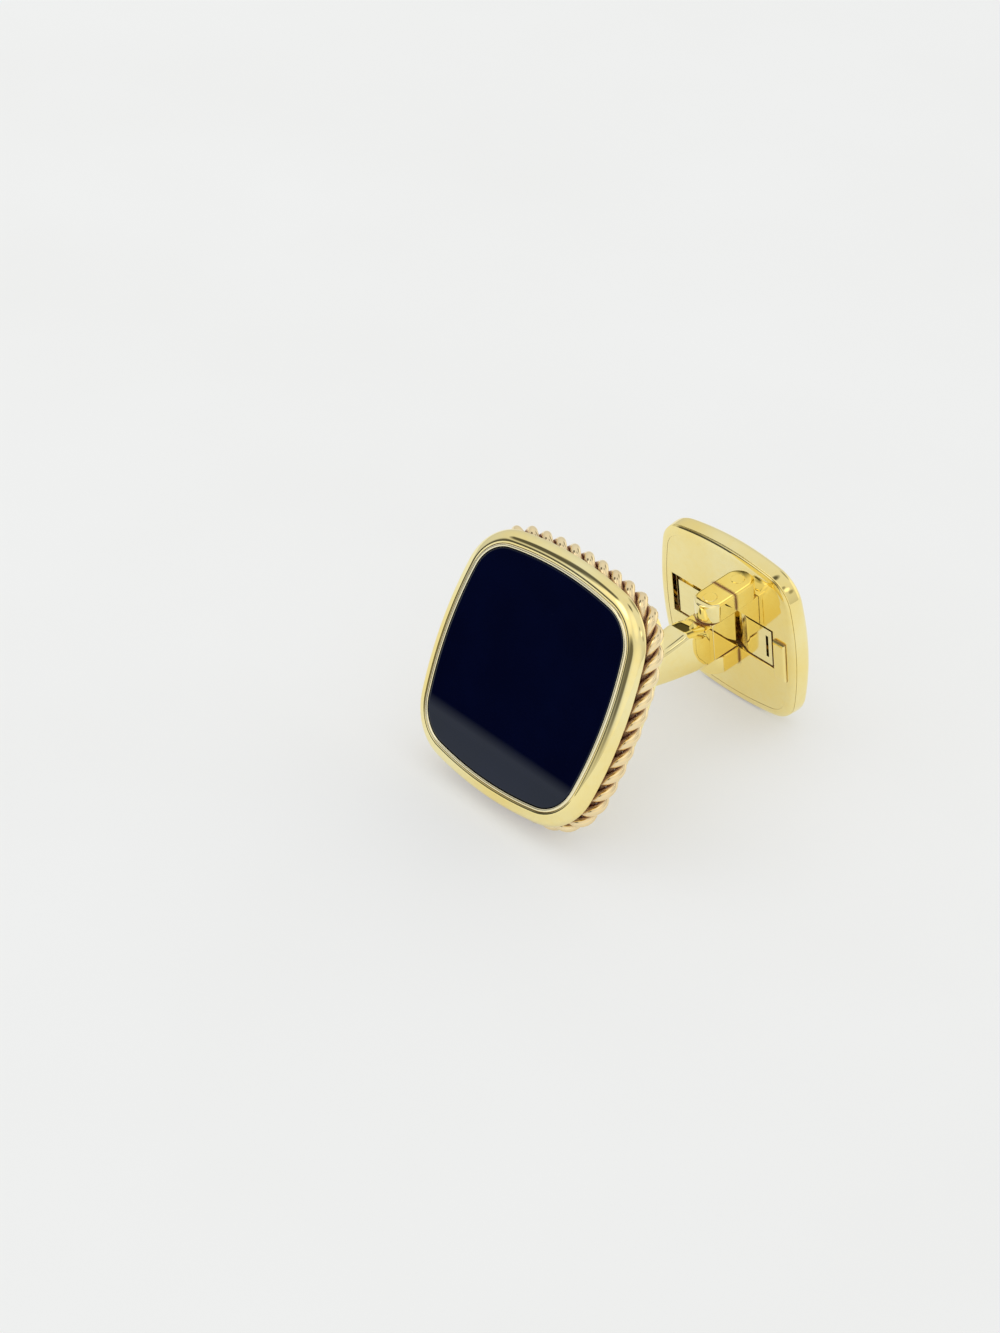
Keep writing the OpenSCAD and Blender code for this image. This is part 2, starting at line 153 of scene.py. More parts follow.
@dataclass(frozen=True)
class Cushion:
    """A square outline with bowed sides and round corners, made of eight arcs."""

    half: float
    side_r: float
    corner_r: float
    side_steps: int = 20
    corner_steps: int = 14

    @property
    def corner_place(self) -> float:
        """Distance of a corner arc's centre from both middle lines."""
        u, v = self.half - self.side_r, self.side_r - self.corner_r
        return (u + math.sqrt(2 * v * v - u * u)) / 2

    @property
    def centres(self) -> tuple[Vector, Vector]:
        """Centres of the right side's arc and of the first corner's arc."""
        q = self.corner_place
        return Vector((self.half - self.side_r, 0, 0)), Vector((q, q, 0))

    @property
    def side_turn(self) -> float:
        """Half the angle that a side's arc turns through, in radians."""
        q = self.corner_place
        return math.atan2(q, q - self.half + self.side_r)

    def arcs(self) -> list[tuple[Vector, float, int]]:
        """Lists the arcs, from the right side round.

        Returns:
            The centre, the angle and the steps of each arc.
        """
        found = []
        for side in range(4):
            turn = Matrix.Rotation(side * QUARTER, 3, "Z")
            angles = 2 * self.side_turn, QUARTER - 2 * self.side_turn
            for centre, angle, steps in zip(self.centres, angles, (self.side_steps, self.corner_steps)):
                found.append((turn @ centre, angle, steps))
        return found

    def point(self, angle: float, grow: float) -> Vector:
        """Finds a point of a parallel outline.

        Args:
            angle: direction of the outward normal there, in radians.
            grow: distance of the parallel outline from this one.

        Returns:
            The point, with z at zero.
        """
        side = math.floor((angle + self.side_turn) / QUARTER)
        local = angle - side * QUARTER
        corner = local > self.side_turn
        reach = grow + (self.corner_r if corner else self.side_r)
        point = self.centres[corner] + reach * Vector((math.cos(local), math.sin(local), 0))
        return Matrix.Rotation(side * QUARTER, 3, "Z") @ point

    def sweep(self, profile: Profile, closed: bool = True) -> BMesh:
        """Runs a profile round the outline by one spin per arc.

        Args:
            profile: points as growth and height.
            closed: whether the profile's last point joins its first.

        Returns:
            The ring, facing outwards where its profile is closed.
        """
        bm = bmesh.new()
        ray = Vector((math.cos(self.side_turn), -math.sin(self.side_turn), 0))
        places = [self.centres[0] + (self.side_r + g) * ray + Vector((0, 0, z)) for g, z in profile]
        verts = [bm.verts.new(place) for place in places]
        pairs = list(zip(verts, verts[1:])) + ([(verts[-1], verts[0])] if closed else [])
        geom = verts + [bm.edges.new(pair) for pair in pairs]
        for middle, angle, steps in self.arcs():
            geom = bmesh.ops.spin(bm, geom=geom, cent=middle, axis=(0, 0, 1), dvec=(0, 0, 0),
                                  angle=angle, steps=steps, use_merge=False)["geom_last"]
        bmesh.ops.remove_doubles(bm, verts=bm.verts, dist=NEAR)
        if closed:
            face_out(bm)
        return bm


def smooth_line(points: Profile, steps: int) -> Profile:
    """Rounds a profile into a curve through its points.

    Args:
        points: corner points of the profile.
        steps: pieces that each span is cut into.

    Returns:
        The curve's points, the first and last corner included.
    """
    knots = [Vector((x, y, 0)) for x, y in points]
    line: Profile = []
    for i, (a, b) in enumerate(zip(knots, knots[1:])):
        before, after = knots[max(i - 1, 0)], knots[min(i + 2, len(knots) - 1)]
        curve = interpolate_bezier(a, a + (b - before) / 6, b - (after - a) / 6, b, steps + 1)
        line += [(p.x, p.y) for p in curve[:-1]]
    return line + [points[-1]]


def share_line(shares: Sequence[Point], start: Point, size: Point) -> Profile:
    """Scales a table of shares into a profile that starts at a point."""
    return [(start[0] + s * size[0], start[1] + t * size[1]) for s, t in shares]


def lookup(table: Sequence[Point], place: float) -> float:
    """Reads a table of places and values, with straight lines between its rows.

    Args:
        table: rows of a place and its value, in order.
        place: where the table is read.

    Returns:
        The value there, or the last one past the end.
    """
    for (x0, y0), (x1, y1) in zip(table, table[1:]):
        if place <= x1:
            return y0 + (y1 - y0) * (place - x0) / (x1 - x0)
    return table[-1][1]


# Edges


def edges_where(edges: Iterable[BMEdge], test: Callable[[Vector], bool]) -> list[BMEdge]:
    """Returns the edges whose two ends both pass a test of their place."""
    return [e for e in edges if all(test(v.co) for v in e.verts)]


def edges_at(edges: Iterable[BMEdge], axis: Axis, place: float) -> list[BMEdge]:
    """Returns the edges that lie at a place on an axis."""
    return edges_where(edges, lambda co: abs(co[axis.value] - place) < NEAR)


def edges_along(edges: Iterable[BMEdge], axis: Axis, least: float) -> list[BMEdge]:
    """Returns the edges that run further than a length along an axis."""
    return [e for e in edges if abs((e.verts[0].co - e.verts[1].co)[axis.value]) > least]


def open_edges(bm: BMesh) -> list[BMEdge]:
    """Returns the edges that only one face has."""
    return [e for e in bm.edges if e.is_boundary]


def sharp_edges(bm: BMesh, degrees: float) -> list[BMEdge]:
    """Returns the edges that turn by more than an angle."""
    return [e for e in bm.edges if len(e.link_faces) == 2 and e.calc_face_angle(0) > math.radians(degrees)]


def round_edges(bm: BMesh, edges: list[BMEdge], width: float, segments: int = 3) -> None:
    """Rounds a set of edges with a bevel."""
    bmesh.ops.bevel(bm, geom=edges, offset=width, offset_type="OFFSET", segments=segments, profile=0.5,
                    affect="EDGES", clamp_overlap=True, material=-1)


# Meshes


def face_out(bm: BMesh) -> None:
    """Turns the faces of a closed mesh outwards."""
    bmesh.ops.recalc_face_normals(bm, faces=bm.faces)


def block(low: Triple, high: Triple) -> BMesh:
    """Makes a block.

    Args:
        low: its low corner.
        high: its high corner.

    Returns:
        The block's mesh.
    """
    bm = bmesh.new()
    bmesh.ops.create_cube(bm, size=1)
    a, b = Vector(low), Vector(high)
    bmesh.ops.scale(bm, vec=b - a, verts=bm.verts)
    bmesh.ops.translate(bm, vec=(a + b) / 2, verts=bm.verts)
    return bm


def bar(radius: float, low: float, high: float, height: float, sides: int = 48) -> BMesh:
    """Makes a round bar along y.

    Args:
        radius: radius of the bar.
        low: where it starts on y.
        high: where it ends on y.
        height: height of its axis on z.
        sides: sides of its section.

    Returns:
        The bar's mesh.
    """
    bm = bmesh.new()
    bmesh.ops.create_cone(bm, cap_ends=True, segments=sides, radius1=radius, radius2=radius, depth=high - low)
    bmesh.ops.rotate(bm, cent=(0, 0, 0), matrix=Matrix.Rotation(QUARTER, 3, "X"), verts=bm.verts)
    bmesh.ops.translate(bm, vec=(0, (low + high) / 2, height), verts=bm.verts)
    return bm


def loop_of(bm: BMesh, points: Iterable[Triple]) -> list[BMEdge]:
    """Draws a closed loop of edges through points."""
    verts = [bm.verts.new(p) for p in points]
    return [bm.edges.new((a, b)) for a, b in zip(verts, verts[1:] + verts[:1])]


def thicken(bm: BMesh, move: Vector) -> None:
    """Gives a flat mesh a thickness.

    Args:
        bm: mesh of flat faces, which stay as its first side.
        move: way from the first side to the second.
    """
    made = bmesh.ops.extrude_face_region(bm, geom=list(bm.faces), use_keep_orig=True)["geom"]
    bmesh.ops.translate(bm, vec=move, verts=[g for g in made if isinstance(g, BMVert)])
    face_out(bm)


def slab(bm: BMesh, move: Vector) -> None:
    """Fills the flat area between a mesh's nested loops and gives it a thickness."""
    bmesh.ops.triangle_fill(bm, use_beauty=True, use_dissolve=False, edges=list(bm.edges))
    thicken(bm, move)


def mesh_of(bm: BMesh, name: str) -> bpy.types.Mesh:
    """Turns a bmesh into a mesh.

    Args:
        bm: the bmesh. It is freed.
        name: name of the mesh.

    Returns:
        The new mesh.
    """
    mesh = bpy.data.meshes.new(name)
    bm.to_mesh(mesh)
    bm.free()
    return mesh


def evaluated(obj: bpy.types.Object) -> BMesh:
    """Reads an object's shape as its modifiers or its bevel leave it.

    Args:
        obj: the object, which stays.

    Returns:
        Its shape as a new bmesh.
    """
    mesh = bpy.data.meshes.new_from_object(obj.evaluated_get(bpy.context.evaluated_depsgraph_get()))
    bm = bmesh.new()
    bm.from_mesh(mesh)
    bpy.data.meshes.remove(mesh)
    return bm


def add_object(name: str, data: bpy.types.ID) -> bpy.types.Object:
    """Adds an object to the scene.

    Args:
        name: name of the object.
        data: its mesh, curve, light or camera.

    Returns:
        The new object.
    """
    made = bpy.data.objects.new(name, data)
    bpy.context.scene.collection.objects.link(made)
    return made


def carve(bm: BMesh, cutter: BMesh) -> BMesh:
    """Cuts one closed mesh out of another.

    Args:
        bm: mesh that is cut. It is freed.
        cutter: mesh that is taken away. It is freed.

    Returns:
        The cut mesh.
    """
    blank, tool = add_object("blank", mesh_of(bm, "blank")), add_object("cutter", mesh_of(cutter, "cutter"))
    cut = blank.modifiers.new("cut", "BOOLEAN")
    cut.operation, cut.solver, cut.object = "DIFFERENCE", "EXACT", tool
    result = evaluated(blank)
    for part in (blank, tool):
        mesh = part.data
        bpy.data.objects.remove(part)
        bpy.data.meshes.remove(mesh)
    return result


def join(bm: BMesh, part: BMesh) -> None:
    """Puts a closed mesh into another.

    Args:
        bm: mesh that takes the part in.
        part: mesh that is put in. It is freed.
    """
    mesh = mesh_of(part, "part")
    bm.from_mesh(mesh)
    bpy.data.meshes.remove(mesh)


# Finishes


@dataclass(frozen=True)
class Grain:
    """A noise on a surface: its cells per millimetre along x, y and z, its detail and its roughness."""

    cells: Triple
    detail: float = 3.0
    rough: float = 0.55


def even_grain(cells: float, detail: float = 3.0, rough: float = 0.55) -> Grain:
    """Makes a grain with the same cells along x, y and z."""
    return Grain((cells, cells, cells), detail, rough)


@dataclass
class NodeBench:
    """The node tree of a material or a world, with short calls for its usual nodes."""

    owner: bpy.types.Material | bpy.types.World

    def node(self, kind: str, **values: object) -> bpy.types.Node:
        """Adds a node and sets its properties or sockets by name.

        Args:
            kind: type of the node, without its ShaderNode prefix.
            values: properties, or sockets whose names have underscores for spaces.

        Returns:
            The new node.
        """
        made = self.owner.node_tree.nodes.new("ShaderNode" + kind)
        for key, value in values.items():
            socket = made.inputs.get(key.replace("_", " "))
            if socket is None:
                setattr(made, key, value)
            else:
                socket.default_value = value
        return made

    def link(self, source: Socket, target: Socket) -> None:
        """Links one socket to another."""
        self.owner.node_tree.links.new(source, target)

    def noise(self, grain: Grain) -> Socket:
        """Adds a noise on Object coordinates.

        Args:
            grain: cells and detail of the noise.

        Returns:
            Its value, from zero to one.
        """
        mapping = self.node("Mapping", Scale=Vector(grain.cells) / MM)
        self.link(self.node("TexCoord").outputs["Object"], mapping.inputs["Vector"])
        made = self.node("TexNoise", Scale=1.0, Detail=grain.detail, Roughness=grain.rough)
        self.link(mapping.outputs["Vector"], made.inputs["Vector"])
        return made.outputs["Fac"]

    def spread(self, source: Socket, low: float, high: float, over: Point = (0.3, 0.7)) -> Socket:
        """Maps a range of a source to other values.

        Args:
            source: socket that is mapped.
            low: value at the start of the range.
            high: value at its end.
            over: start and end of the range.

        Returns:
            The mapped value.
        """
        made = self.node("MapRange", From_Min=over[0], From_Max=over[1], To_Min=low, To_Max=high)
        self.link(source, made.inputs["Value"])
        return made.outputs["Result"]

    def total(self, sources: Sequence[Socket]) -> Socket:
        """Adds sources up.

        Args:
            sources: sockets to add.

        Returns:
            Their total.
        """
        summed = sources[0]
        for source in sources[1:]:
            made = self.node("Math", operation="ADD")
            self.link(summed, made.inputs[0])
            self.link(source, made.inputs[1])
            summed = made.outputs[0]
        return summed

    def mix(self, factor: Socket, a: Socket | Triple, b: Socket | Triple) -> Socket:
        """Mixes two colours.

        Args:
            factor: nought for the first colour, one for the second.
            a: the first colour or its socket.
            b: the second colour or its socket.

        Returns:
            The mixed colour.
        """
        made = self.node("Mix", data_type="RGBA")
        self.link(factor, made.inputs["Factor"])
        for key, value in (("A", a), ("B", b)):
            socket = next(s for s in made.inputs if s.name == key and s.type == "RGBA")
            if isinstance(value, Socket):
                self.link(value, socket)
            else:
                socket.default_value = (*value, 1.0)
        return next(s for s in made.outputs if s.type == "RGBA")

    def bump(self, height: Socket, size: Point, normal: Socket | None = None) -> Socket:
        """Bumps a surface.

        Args:
            height: socket of the heights.
            size: strength of the bumps, and their depth in millimetres.
            normal: normal that is bumped, if it isn't the surface's own.

        Returns:
            The bumped normal.
        """
        made = self.node("Bump", Strength=size[0], Distance=size[1] * MM)
        self.link(height, made.inputs["Height"])
        if normal is not None:
            self.link(normal, made.inputs["Normal"])
        return made.outputs["Normal"]

    def crevice(self, reach: float, rays: int = 8) -> Socket:
        """Returns how open a place is, from nought in a crevice to one, within a reach."""
        return self.node("AmbientOcclusion", samples=rays, Distance=reach * MM).outputs["AO"]


@dataclass(frozen=True)
class Finish:
    """A finish under a name. A variant's material has a word more in its name."""

    name: str
    variant: str = field(default="", kw_only=True)

    def start(self) -> tuple[NodeBench, bpy.types.Node]:
        """Makes an empty material.

        Returns:
            The material's bench and its Principled shader.
        """
        material = bpy.data.materials.new(self.name + self.variant + "_finish")
        material.use_nodes = True
        return NodeBench(material), material.node_tree.nodes["Principled BSDF"]

    def material(self) -> bpy.types.Material:
        """Returns the finish as a material."""
        raise NotImplementedError


@dataclass(frozen=True)
class Polish(Finish):
    """A polished gold alloy with fine wear, and crevices darkened by tarnish and by painted shade."""

    colour: Triple
    deep: Triple
    # Crevice colours, the second and darker one for the least open places; both are partly tarnish, partly painted
    # shade
    tarnish_and_shade: Triple
    deep_tarnish_and_shade: Triple = (0.3, 0.07, 0.04)
    roughness: Point = (0.008, 0.038)
    crevice_reach: float = 0.22
    crevice_shut: float = 0.4
    crevice_open: float = 0.72
    crevice_metal: float = 0.1
    clouds: Grain = even_grain(0.16, 1.0)
    cloud_share: float = 0.62
    cloud_over: Point = (0.34, 0.66)
    film: Grain = even_grain(2.2, 4.0)
    film_share: float = 0.25
    film_over: Point = (0.45, 0.75)
    haze: Grain = Grain((9, 2.5, 2.5), 4.0)
    haze_over: Point = (0.35, 0.75)
    waves: Grain = even_grain(0.5, 1.0)
    wave_size: Point = (0.25, 0.02)
    scratches: Grain = Grain((40, 3, 6), 2.0, 0.7)
    scratch_size: Point = (0.04, 0.002)

    def material(self) -> bpy.types.Material:
        """Makes the finish, with the gold's tone, its tarnish and painted shade in crevices, its haze and its fine
        scratches.

        Returns:
            The material.
        """
        bench, shader = self.start()
        clouds = bench.spread(bench.noise(self.clouds), 0.0, self.cloud_share, self.cloud_over)
        film = bench.spread(bench.noise(self.film), 0.0, self.film_share, self.film_over)
        tone = bench.mix(film, bench.mix(clouds, self.colour, self.deep), self.deep)
        # Painted shade with tarnish: the less open a place within the reach, the darker and less metallic it is
        # made
        openness = bench.crevice(self.crevice_reach)
        deep_tarnish_and_shade_share = bench.spread(openness, 1.0, 0.0, (0.0, self.crevice_shut))
        tarnish_and_shade_share = bench.spread(openness, 1.0, 0.0, (self.crevice_shut, self.crevice_open))
        tarnish_and_shade_colour = bench.mix(deep_tarnish_and_shade_share, self.tarnish_and_shade, self.deep_tarnish_and_shade)
        bench.link(bench.mix(tarnish_and_shade_share, tone, tarnish_and_shade_colour), shader.inputs["Base Color"])
        bench.link(bench.spread(tarnish_and_shade_share, 1.0, self.crevice_metal, (0.0, 1.0)), shader.inputs["Metallic"])
        rough = bench.spread(bench.noise(self.haze), *self.roughness, self.haze_over)
        bench.link(rough, shader.inputs["Roughness"])
        waves = bench.bump(bench.noise(self.waves), self.wave_size)
        bench.link(bench.bump(bench.noise(self.scratches), self.scratch_size, waves), shader.inputs["Normal"])
        return bench.owner


@dataclass(frozen=True)
class SatinSpring(Finish):
    """Rolled spring gold with fine lines along its length."""

    colour: Triple
    deep: Triple
    line_share: float = 0.6
    roughness: Point = (0.03, 0.11)
    lines: Grain = Grain((1.2, 26, 26), 3.0, 0.6)
    line_size: Point = (0.12, 0.006)

    def material(self) -> bpy.types.Material:
        """Makes the finish.

        Returns:
            The material.
        """
        bench, shader = self.start()
        shader.inputs["Metallic"].default_value = 1.0
        lines = bench.noise(self.lines)
        tone = bench.mix(bench.spread(lines, 0.0, self.line_share), self.colour, self.deep)
        bench.link(tone, shader.inputs["Base Color"])
        bench.link(bench.spread(lines, *self.roughness), shader.inputs["Roughness"])
        bench.link(bench.bump(lines, self.line_size), shader.inputs["Normal"])
        return bench.owner


@dataclass(frozen=True)
class PolishedStone(Finish):
    """Opaque near-black stone with a glassy polish, faint clouds and a few hairline marks."""

    colour: Triple
    cloud: Triple
    hair: Triple = (0.03, 0.034, 0.05)
    sheen_tint: Triple = (0.8, 0.93, 1.0)
    index: float = 1.44
    roughness: Point = (0.004, 0.019)
    clouds: Grain = even_grain(0.28)
    cloud_over: Point = (0.35, 0.7)
    hairs: Grain = Grain((2.2, 0.35, 0.9), 5.0, 0.75)
    hair_share: float = 0.5
    hair_over: Point = (0.69, 0.76)
    smears: Grain = Grain((0.7, 0.25, 0.25), 4.0, 0.6)
    smear_over: Point = (0.4, 0.8)

    def material(self) -> bpy.types.Material:
        """Makes the finish.

        Returns:
            The material.
        """
        bench, shader = self.start()
        shader.inputs["IOR"].default_value = self.index
        shader.inputs["Specular Tint"].default_value = (*self.sheen_tint, 1.0)
        clouds = bench.spread(bench.noise(self.clouds), 0.0, 1.0, self.cloud_over)
        hairs = bench.spread(bench.noise(self.hairs), 0.0, self.hair_share, self.hair_over)
        tone = bench.mix(clouds, self.colour, self.cloud)
        bench.link(bench.mix(hairs, tone, self.hair), shader.inputs["Base Color"])
        rough = bench.spread(bench.noise(self.smears), *self.roughness, self.smear_over)
        bench.link(rough, shader.inputs["Roughness"])
        return bench.owner


@dataclass(frozen=True)
class Cement(Finish):
    """Dull, grainy setting cement."""

    colour: Triple
    grain: Triple
    specks: Grain = even_grain(6.0, 5.0, 0.7)
    roughness: Point = (0.75, 0.95)
    speck_size: Point = (0.4, 0.03)

    def material(self) -> bpy.types.Material:
        """Makes the finish.

        Returns:
            The material.
        """
        bench, shader = self.start()
        specks = bench.noise(self.specks)
        tone = bench.mix(bench.spread(specks, 0.0, 1.0), self.colour, self.grain)
        bench.link(tone, shader.inputs["Base Color"])
        bench.link(bench.spread(specks, *self.roughness), shader.inputs["Roughness"])
        bench.link(bench.bump(specks, self.speck_size), shader.inputs["Normal"])
        return bench.owner


@dataclass(frozen=True)
class TableTop(Finish):
    """Matt white table, slightly mottled. The eye and gloss see its faint glow, which lights nothing."""

    colour: Triple
    shade: Triple
    glow: float = 0.355
    glow_colour: Triple = (1.0, 1.0, 0.99)
    mottle: Grain = even_grain(0.03)
    roughness: Point = (0.3, 0.42)
    seen_by: tuple[str, ...] = ("Is Camera Ray", "Is Glossy Ray", "Is Transmission Ray")

    def material(self) -> bpy.types.Material:
        """Makes the finish.

        Returns:
            The material.
        """
        bench, shader = self.start()
        rays = bench.node("LightPath").outputs
        seen = bench.total([rays[name] for name in self.seen_by])
        shader.inputs["Emission Color"].default_value = (*self.glow_colour, 1.0)
        bench.link(bench.spread(seen, 0.0, self.glow, (0.0, 1.0)), shader.inputs["Emission Strength"])
        mottle = bench.noise(self.mottle)
        tone = bench.mix(bench.spread(mottle, 0.0, 1.0), self.colour, self.shade)
        bench.link(tone, shader.inputs["Base Color"])
        bench.link(bench.spread(mottle, *self.roughness), shader.inputs["Roughness"])
        shader.inputs["Specular IOR Level"].default_value = 0.0
        return bench.owner


@dataclass
class Finishes:
    """The finishes of the link and its table, each made once."""

    yellow: Polish = Polish("polished_gold", (0.995, 0.9, 0.5), (0.98, 0.76, 0.22), (0.3, 0.12, 0.05))
    # Hinge and window pieces: darker crevices over a wider reach, partly tarnish, partly painted shade
    tarnished_and_shaded: Polish = replace(yellow, variant="_tarnished_shaded", crevice_reach=0.4, crevice_shut=0.5, crevice_open=0.78)
    lip: Polish = replace(yellow, variant="_lip", colour=(0.995, 0.93, 0.66), deep=(0.99, 0.87, 0.52),
                          roughness=(0.12, 0.15), crevice_reach=0.04)
    # The rope's gaps: darker over a wide reach, partly tarnish, partly painted shade
    rose: Polish = Polish("rose_gold", (0.98, 0.82, 0.5), (0.93, 0.72, 0.4), (0.38, 0.2, 0.11),
                          crevice_reach=0.55, crevice_shut=0.36, crevice_open=0.8)
    spring: SatinSpring = SatinSpring("spring_gold", (0.99, 0.88, 0.46), (0.95, 0.8, 0.34))
    stone: PolishedStone = PolishedStone("onyx", (0.0007, 0.0016, 0.0135), (0.0009, 0.0022, 0.0175))
    cement: Cement = Cement("cement", (0.36, 0.34, 0.29), (0.22, 0.2, 0.17))
    table: TableTop = TableTop("table_top", (0.51, 0.51, 0.5), (0.495, 0.493, 0.48))
    made: dict[Finish, bpy.types.Material] = field(default_factory=dict)

    def get(self, finish: Finish) -> bpy.types.Material:
        """Finds a finish's material, and makes it the first time.

        Args:
            finish: the finish.

        Returns:
            Its material.
        """
        if finish not in self.made:
            self.made[finish] = finish.material()
        return self.made[finish]


# Pieces


@dataclass
class Maker:
    """Turns finished meshes into pieces of the link."""

    finishes: Finishes
    count: int = 0

    def piece(self, bm: BMesh, name: str, node: str, plane: Plane, finish: Finish, body: Body,
              shading: Shading = Shading.SOFT, sharp: float = SHADED_EDGE) -> None:
        """Sets a mesh in its plane, adds it to the scene on its body and hides the solid that it stands for.

        Args:
            bm: closed mesh in millimetres. It is freed.
            name: name of the piece.
            node: solid that the piece stands for.
            plane: plane that the mesh was shaped in.
            finish: finish of the piece.
            body: body that the piece moves with.
            shading: how the normals run over the edges.
            sharp: angle in degrees over which an edge stays sharp.
        """
        bmesh.ops.transform(bm, matrix=plane.matrix(), verts=bm.verts)
        hard = set(sharp_edges(bm, sharp))
        for face in bm.faces:
            face.smooth = True
        for edge in bm.edges:
            edge.smooth = edge not in hard
        mesh = mesh_of(bm, name)
        mesh.materials.append(self.finishes.get(finish))
        obj = add_object(name, mesh)
        if shading is Shading.FACED:
            obj.modifiers.new("facing", "WEIGHTED_NORMAL").keep_sharp = True
        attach(obj, body.value)
        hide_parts(node)
        self.count += 1
        log.info("piece %s: %d faces, %s", name, len(mesh.polygons), body.value)

    def dress(self, node: str, finish: Finish) -> None:
        """Gives a solid that stays a finish of its own.

        Args:
            node: name of the solid.
            finish: its finish.
        """
        for slot in frame["nodes"][node].material_slots:
            slot.material = self.finishes.get(finish)
        log.info("solid %s: %s", node, finish.name)


@dataclass
class Assembly:
    """A sub-assembly of the link: the maker of its pieces and the plane that they are shaped in."""

    maker: Maker
    plane: Plane

    @property
    def finishes(self) -> Finishes:
        """The finishes of the link."""
        return self.maker.finishes

    def piece(self, bm: BMesh, name: str, node: str, finish: Finish, body: Body,
              shading: Shading = Shading.SOFT, sharp: float = SHADED_EDGE) -> None:
        """Adds a mesh that was shaped in the sub-assembly's own plane as a piece."""
        self.maker.piece(bm, name, node, self.plane, finish, body, shading, sharp)

    def build(self) -> None:
        """Makes every piece of the sub-assembly."""
        raise NotImplementedError


# The face


@dataclass
class Setting(Assembly):
    """The stone with its collar, its rounded band and the wall that carries them."""

    outline: Cushion = Cushion(7.0, 25.16, 2.69)
    stone_depth: float = 1.7
    stone_crown: float = 0.05
    stone_round: float = 0.12
    stone_steps: int = 8
    collar_t: float = 0.23
    collar_rise: float = 0.1
    collar_depth: float = 1.0
    lip_steps: int = 4
    band_w: float = 0.87
    band_depth: float = 0.84
    band_steps: int = 5
    recess_h: float = 0.28
    recess_inset: float = 0.38
    wall_reach: float = 0.17
    wall_t: float = 0.42
    rope_depth: float = 1.77
    rope_r: float = 0.65
    back_depth: float = 2.44
    hollow_shares: Triple = (0.5, 0.25, 0.125)
    band_shares: tuple[Point, ...] = (
        (0, -0.02), (0.14, -0.05), (0.34, 0), (0.58, 0.12),
        (0.79, 0.31), (0.93, 0.55), (1, 0.8), (0.95, 0.94))
    lip_shares: tuple[Point, ...] = ((1, 0), (0.75, 0.75), (0.45, 1), (0.15, 0.75), (0, 0))

    @property
    def band_in(self) -> float:
        """Growth of the band's inner edge."""
        return 2 * SEAM + self.collar_t

    def stone(self) -> None:
        """Makes the flat stone with its rounded upper edge."""
        arc = [math.radians(90 * i / self.stone_steps) for i in range(self.stone_steps + 1)]
        rounding = [(-SEAM - self.stone_round * (1 - math.cos(a)), self.stone_crown * math.sin(a))
                    for a in arc]
        foot = [(-SEAM - self.stone_round, -self.stone_depth), (-SEAM, self.stone_round - self.stone_depth)]
        bm = self.outline.sweep(foot + rounding, closed=False)
        for height in (-self.stone_depth, self.stone_crown):
            bmesh.ops.contextual_create(bm, geom=edges_at(open_edges(bm), Axis.Z, height))
        face_out(bm)
        self.piece(bm, "stone", "onyx_stone", self.finishes.stone, Body.FACE, Shading.FACED)

    def collar(self) -> None:
        """Makes the thin collar whose bright lip holds the stone's edge."""
        corners = share_line(self.lip_shares, (SEAM, 0), (self.collar_t, self.collar_rise))
        base = [(SEAM, -self.collar_depth), (SEAM + self.collar_t, -self.collar_depth)]
        bm = self.outline.sweep(base + smooth_line(corners, self.lip_steps))
        self.piece(bm, "collar", "stone_collar", self.finishes.lip, Body.FACE)

    def band(self) -> None:
        """Makes the broad rounded band."""
        corners = share_line(self.band_shares, (self.band_in, 0), (self.band_w, -self.band_depth))
        foot_out = self.band_in + self.band_w - self.recess_inset / 2
        foot = [(self.band_in, -self.band_depth), (foot_out, -self.band_depth)]
        bm = self.outline.sweep(foot + smooth_line(corners, self.band_steps)[::-1])
        self.piece(bm, "band", "bezel_frame", self.finishes.yellow, Body.FACE)

    def wall(self) -> None:
        """Makes the wall behind the band, with its recess and the hollow beside the rope."""
        wall_in = self.wall_reach - self.wall_t
        recess_out = self.band_in + self.band_w - self.recess_inset
        recess_depth = self.band_depth + self.recess_h
        low, out, high = (share * self.rope_r for share in self.hollow_shares)
        bm = self.outline.sweep([
            (wall_in, -self.back_depth + SEAM), (self.wall_reach, -self.back_depth + SEAM),
            (self.wall_reach, -self.rope_depth + low), (self.wall_reach + out, -recess_depth - high),
            (recess_out, -recess_depth + SEAM), (recess_out, -self.band_depth - SEAM),
            (self.band_in, -self.band_depth - SEAM), (self.band_in, -self.collar_depth - SEAM),
            (0, -self.collar_depth - SEAM), (0, -self.stone_depth - SEAM),
            (wall_in, -self.stone_depth - SEAM)])
        self.piece(bm, "wall", "gallery_wall", self.finishes.rose, Body.FACE)

    def build(self) -> None:
        """Makes the pieces that show, and dresses the solids that nothing shows."""
        self.stone()
        self.collar()
        self.band()
        self.wall()
        self.maker.dress("stone_seat", self.finishes.yellow)
        self.maker.dress("stone_bed", self.finishes.cement)


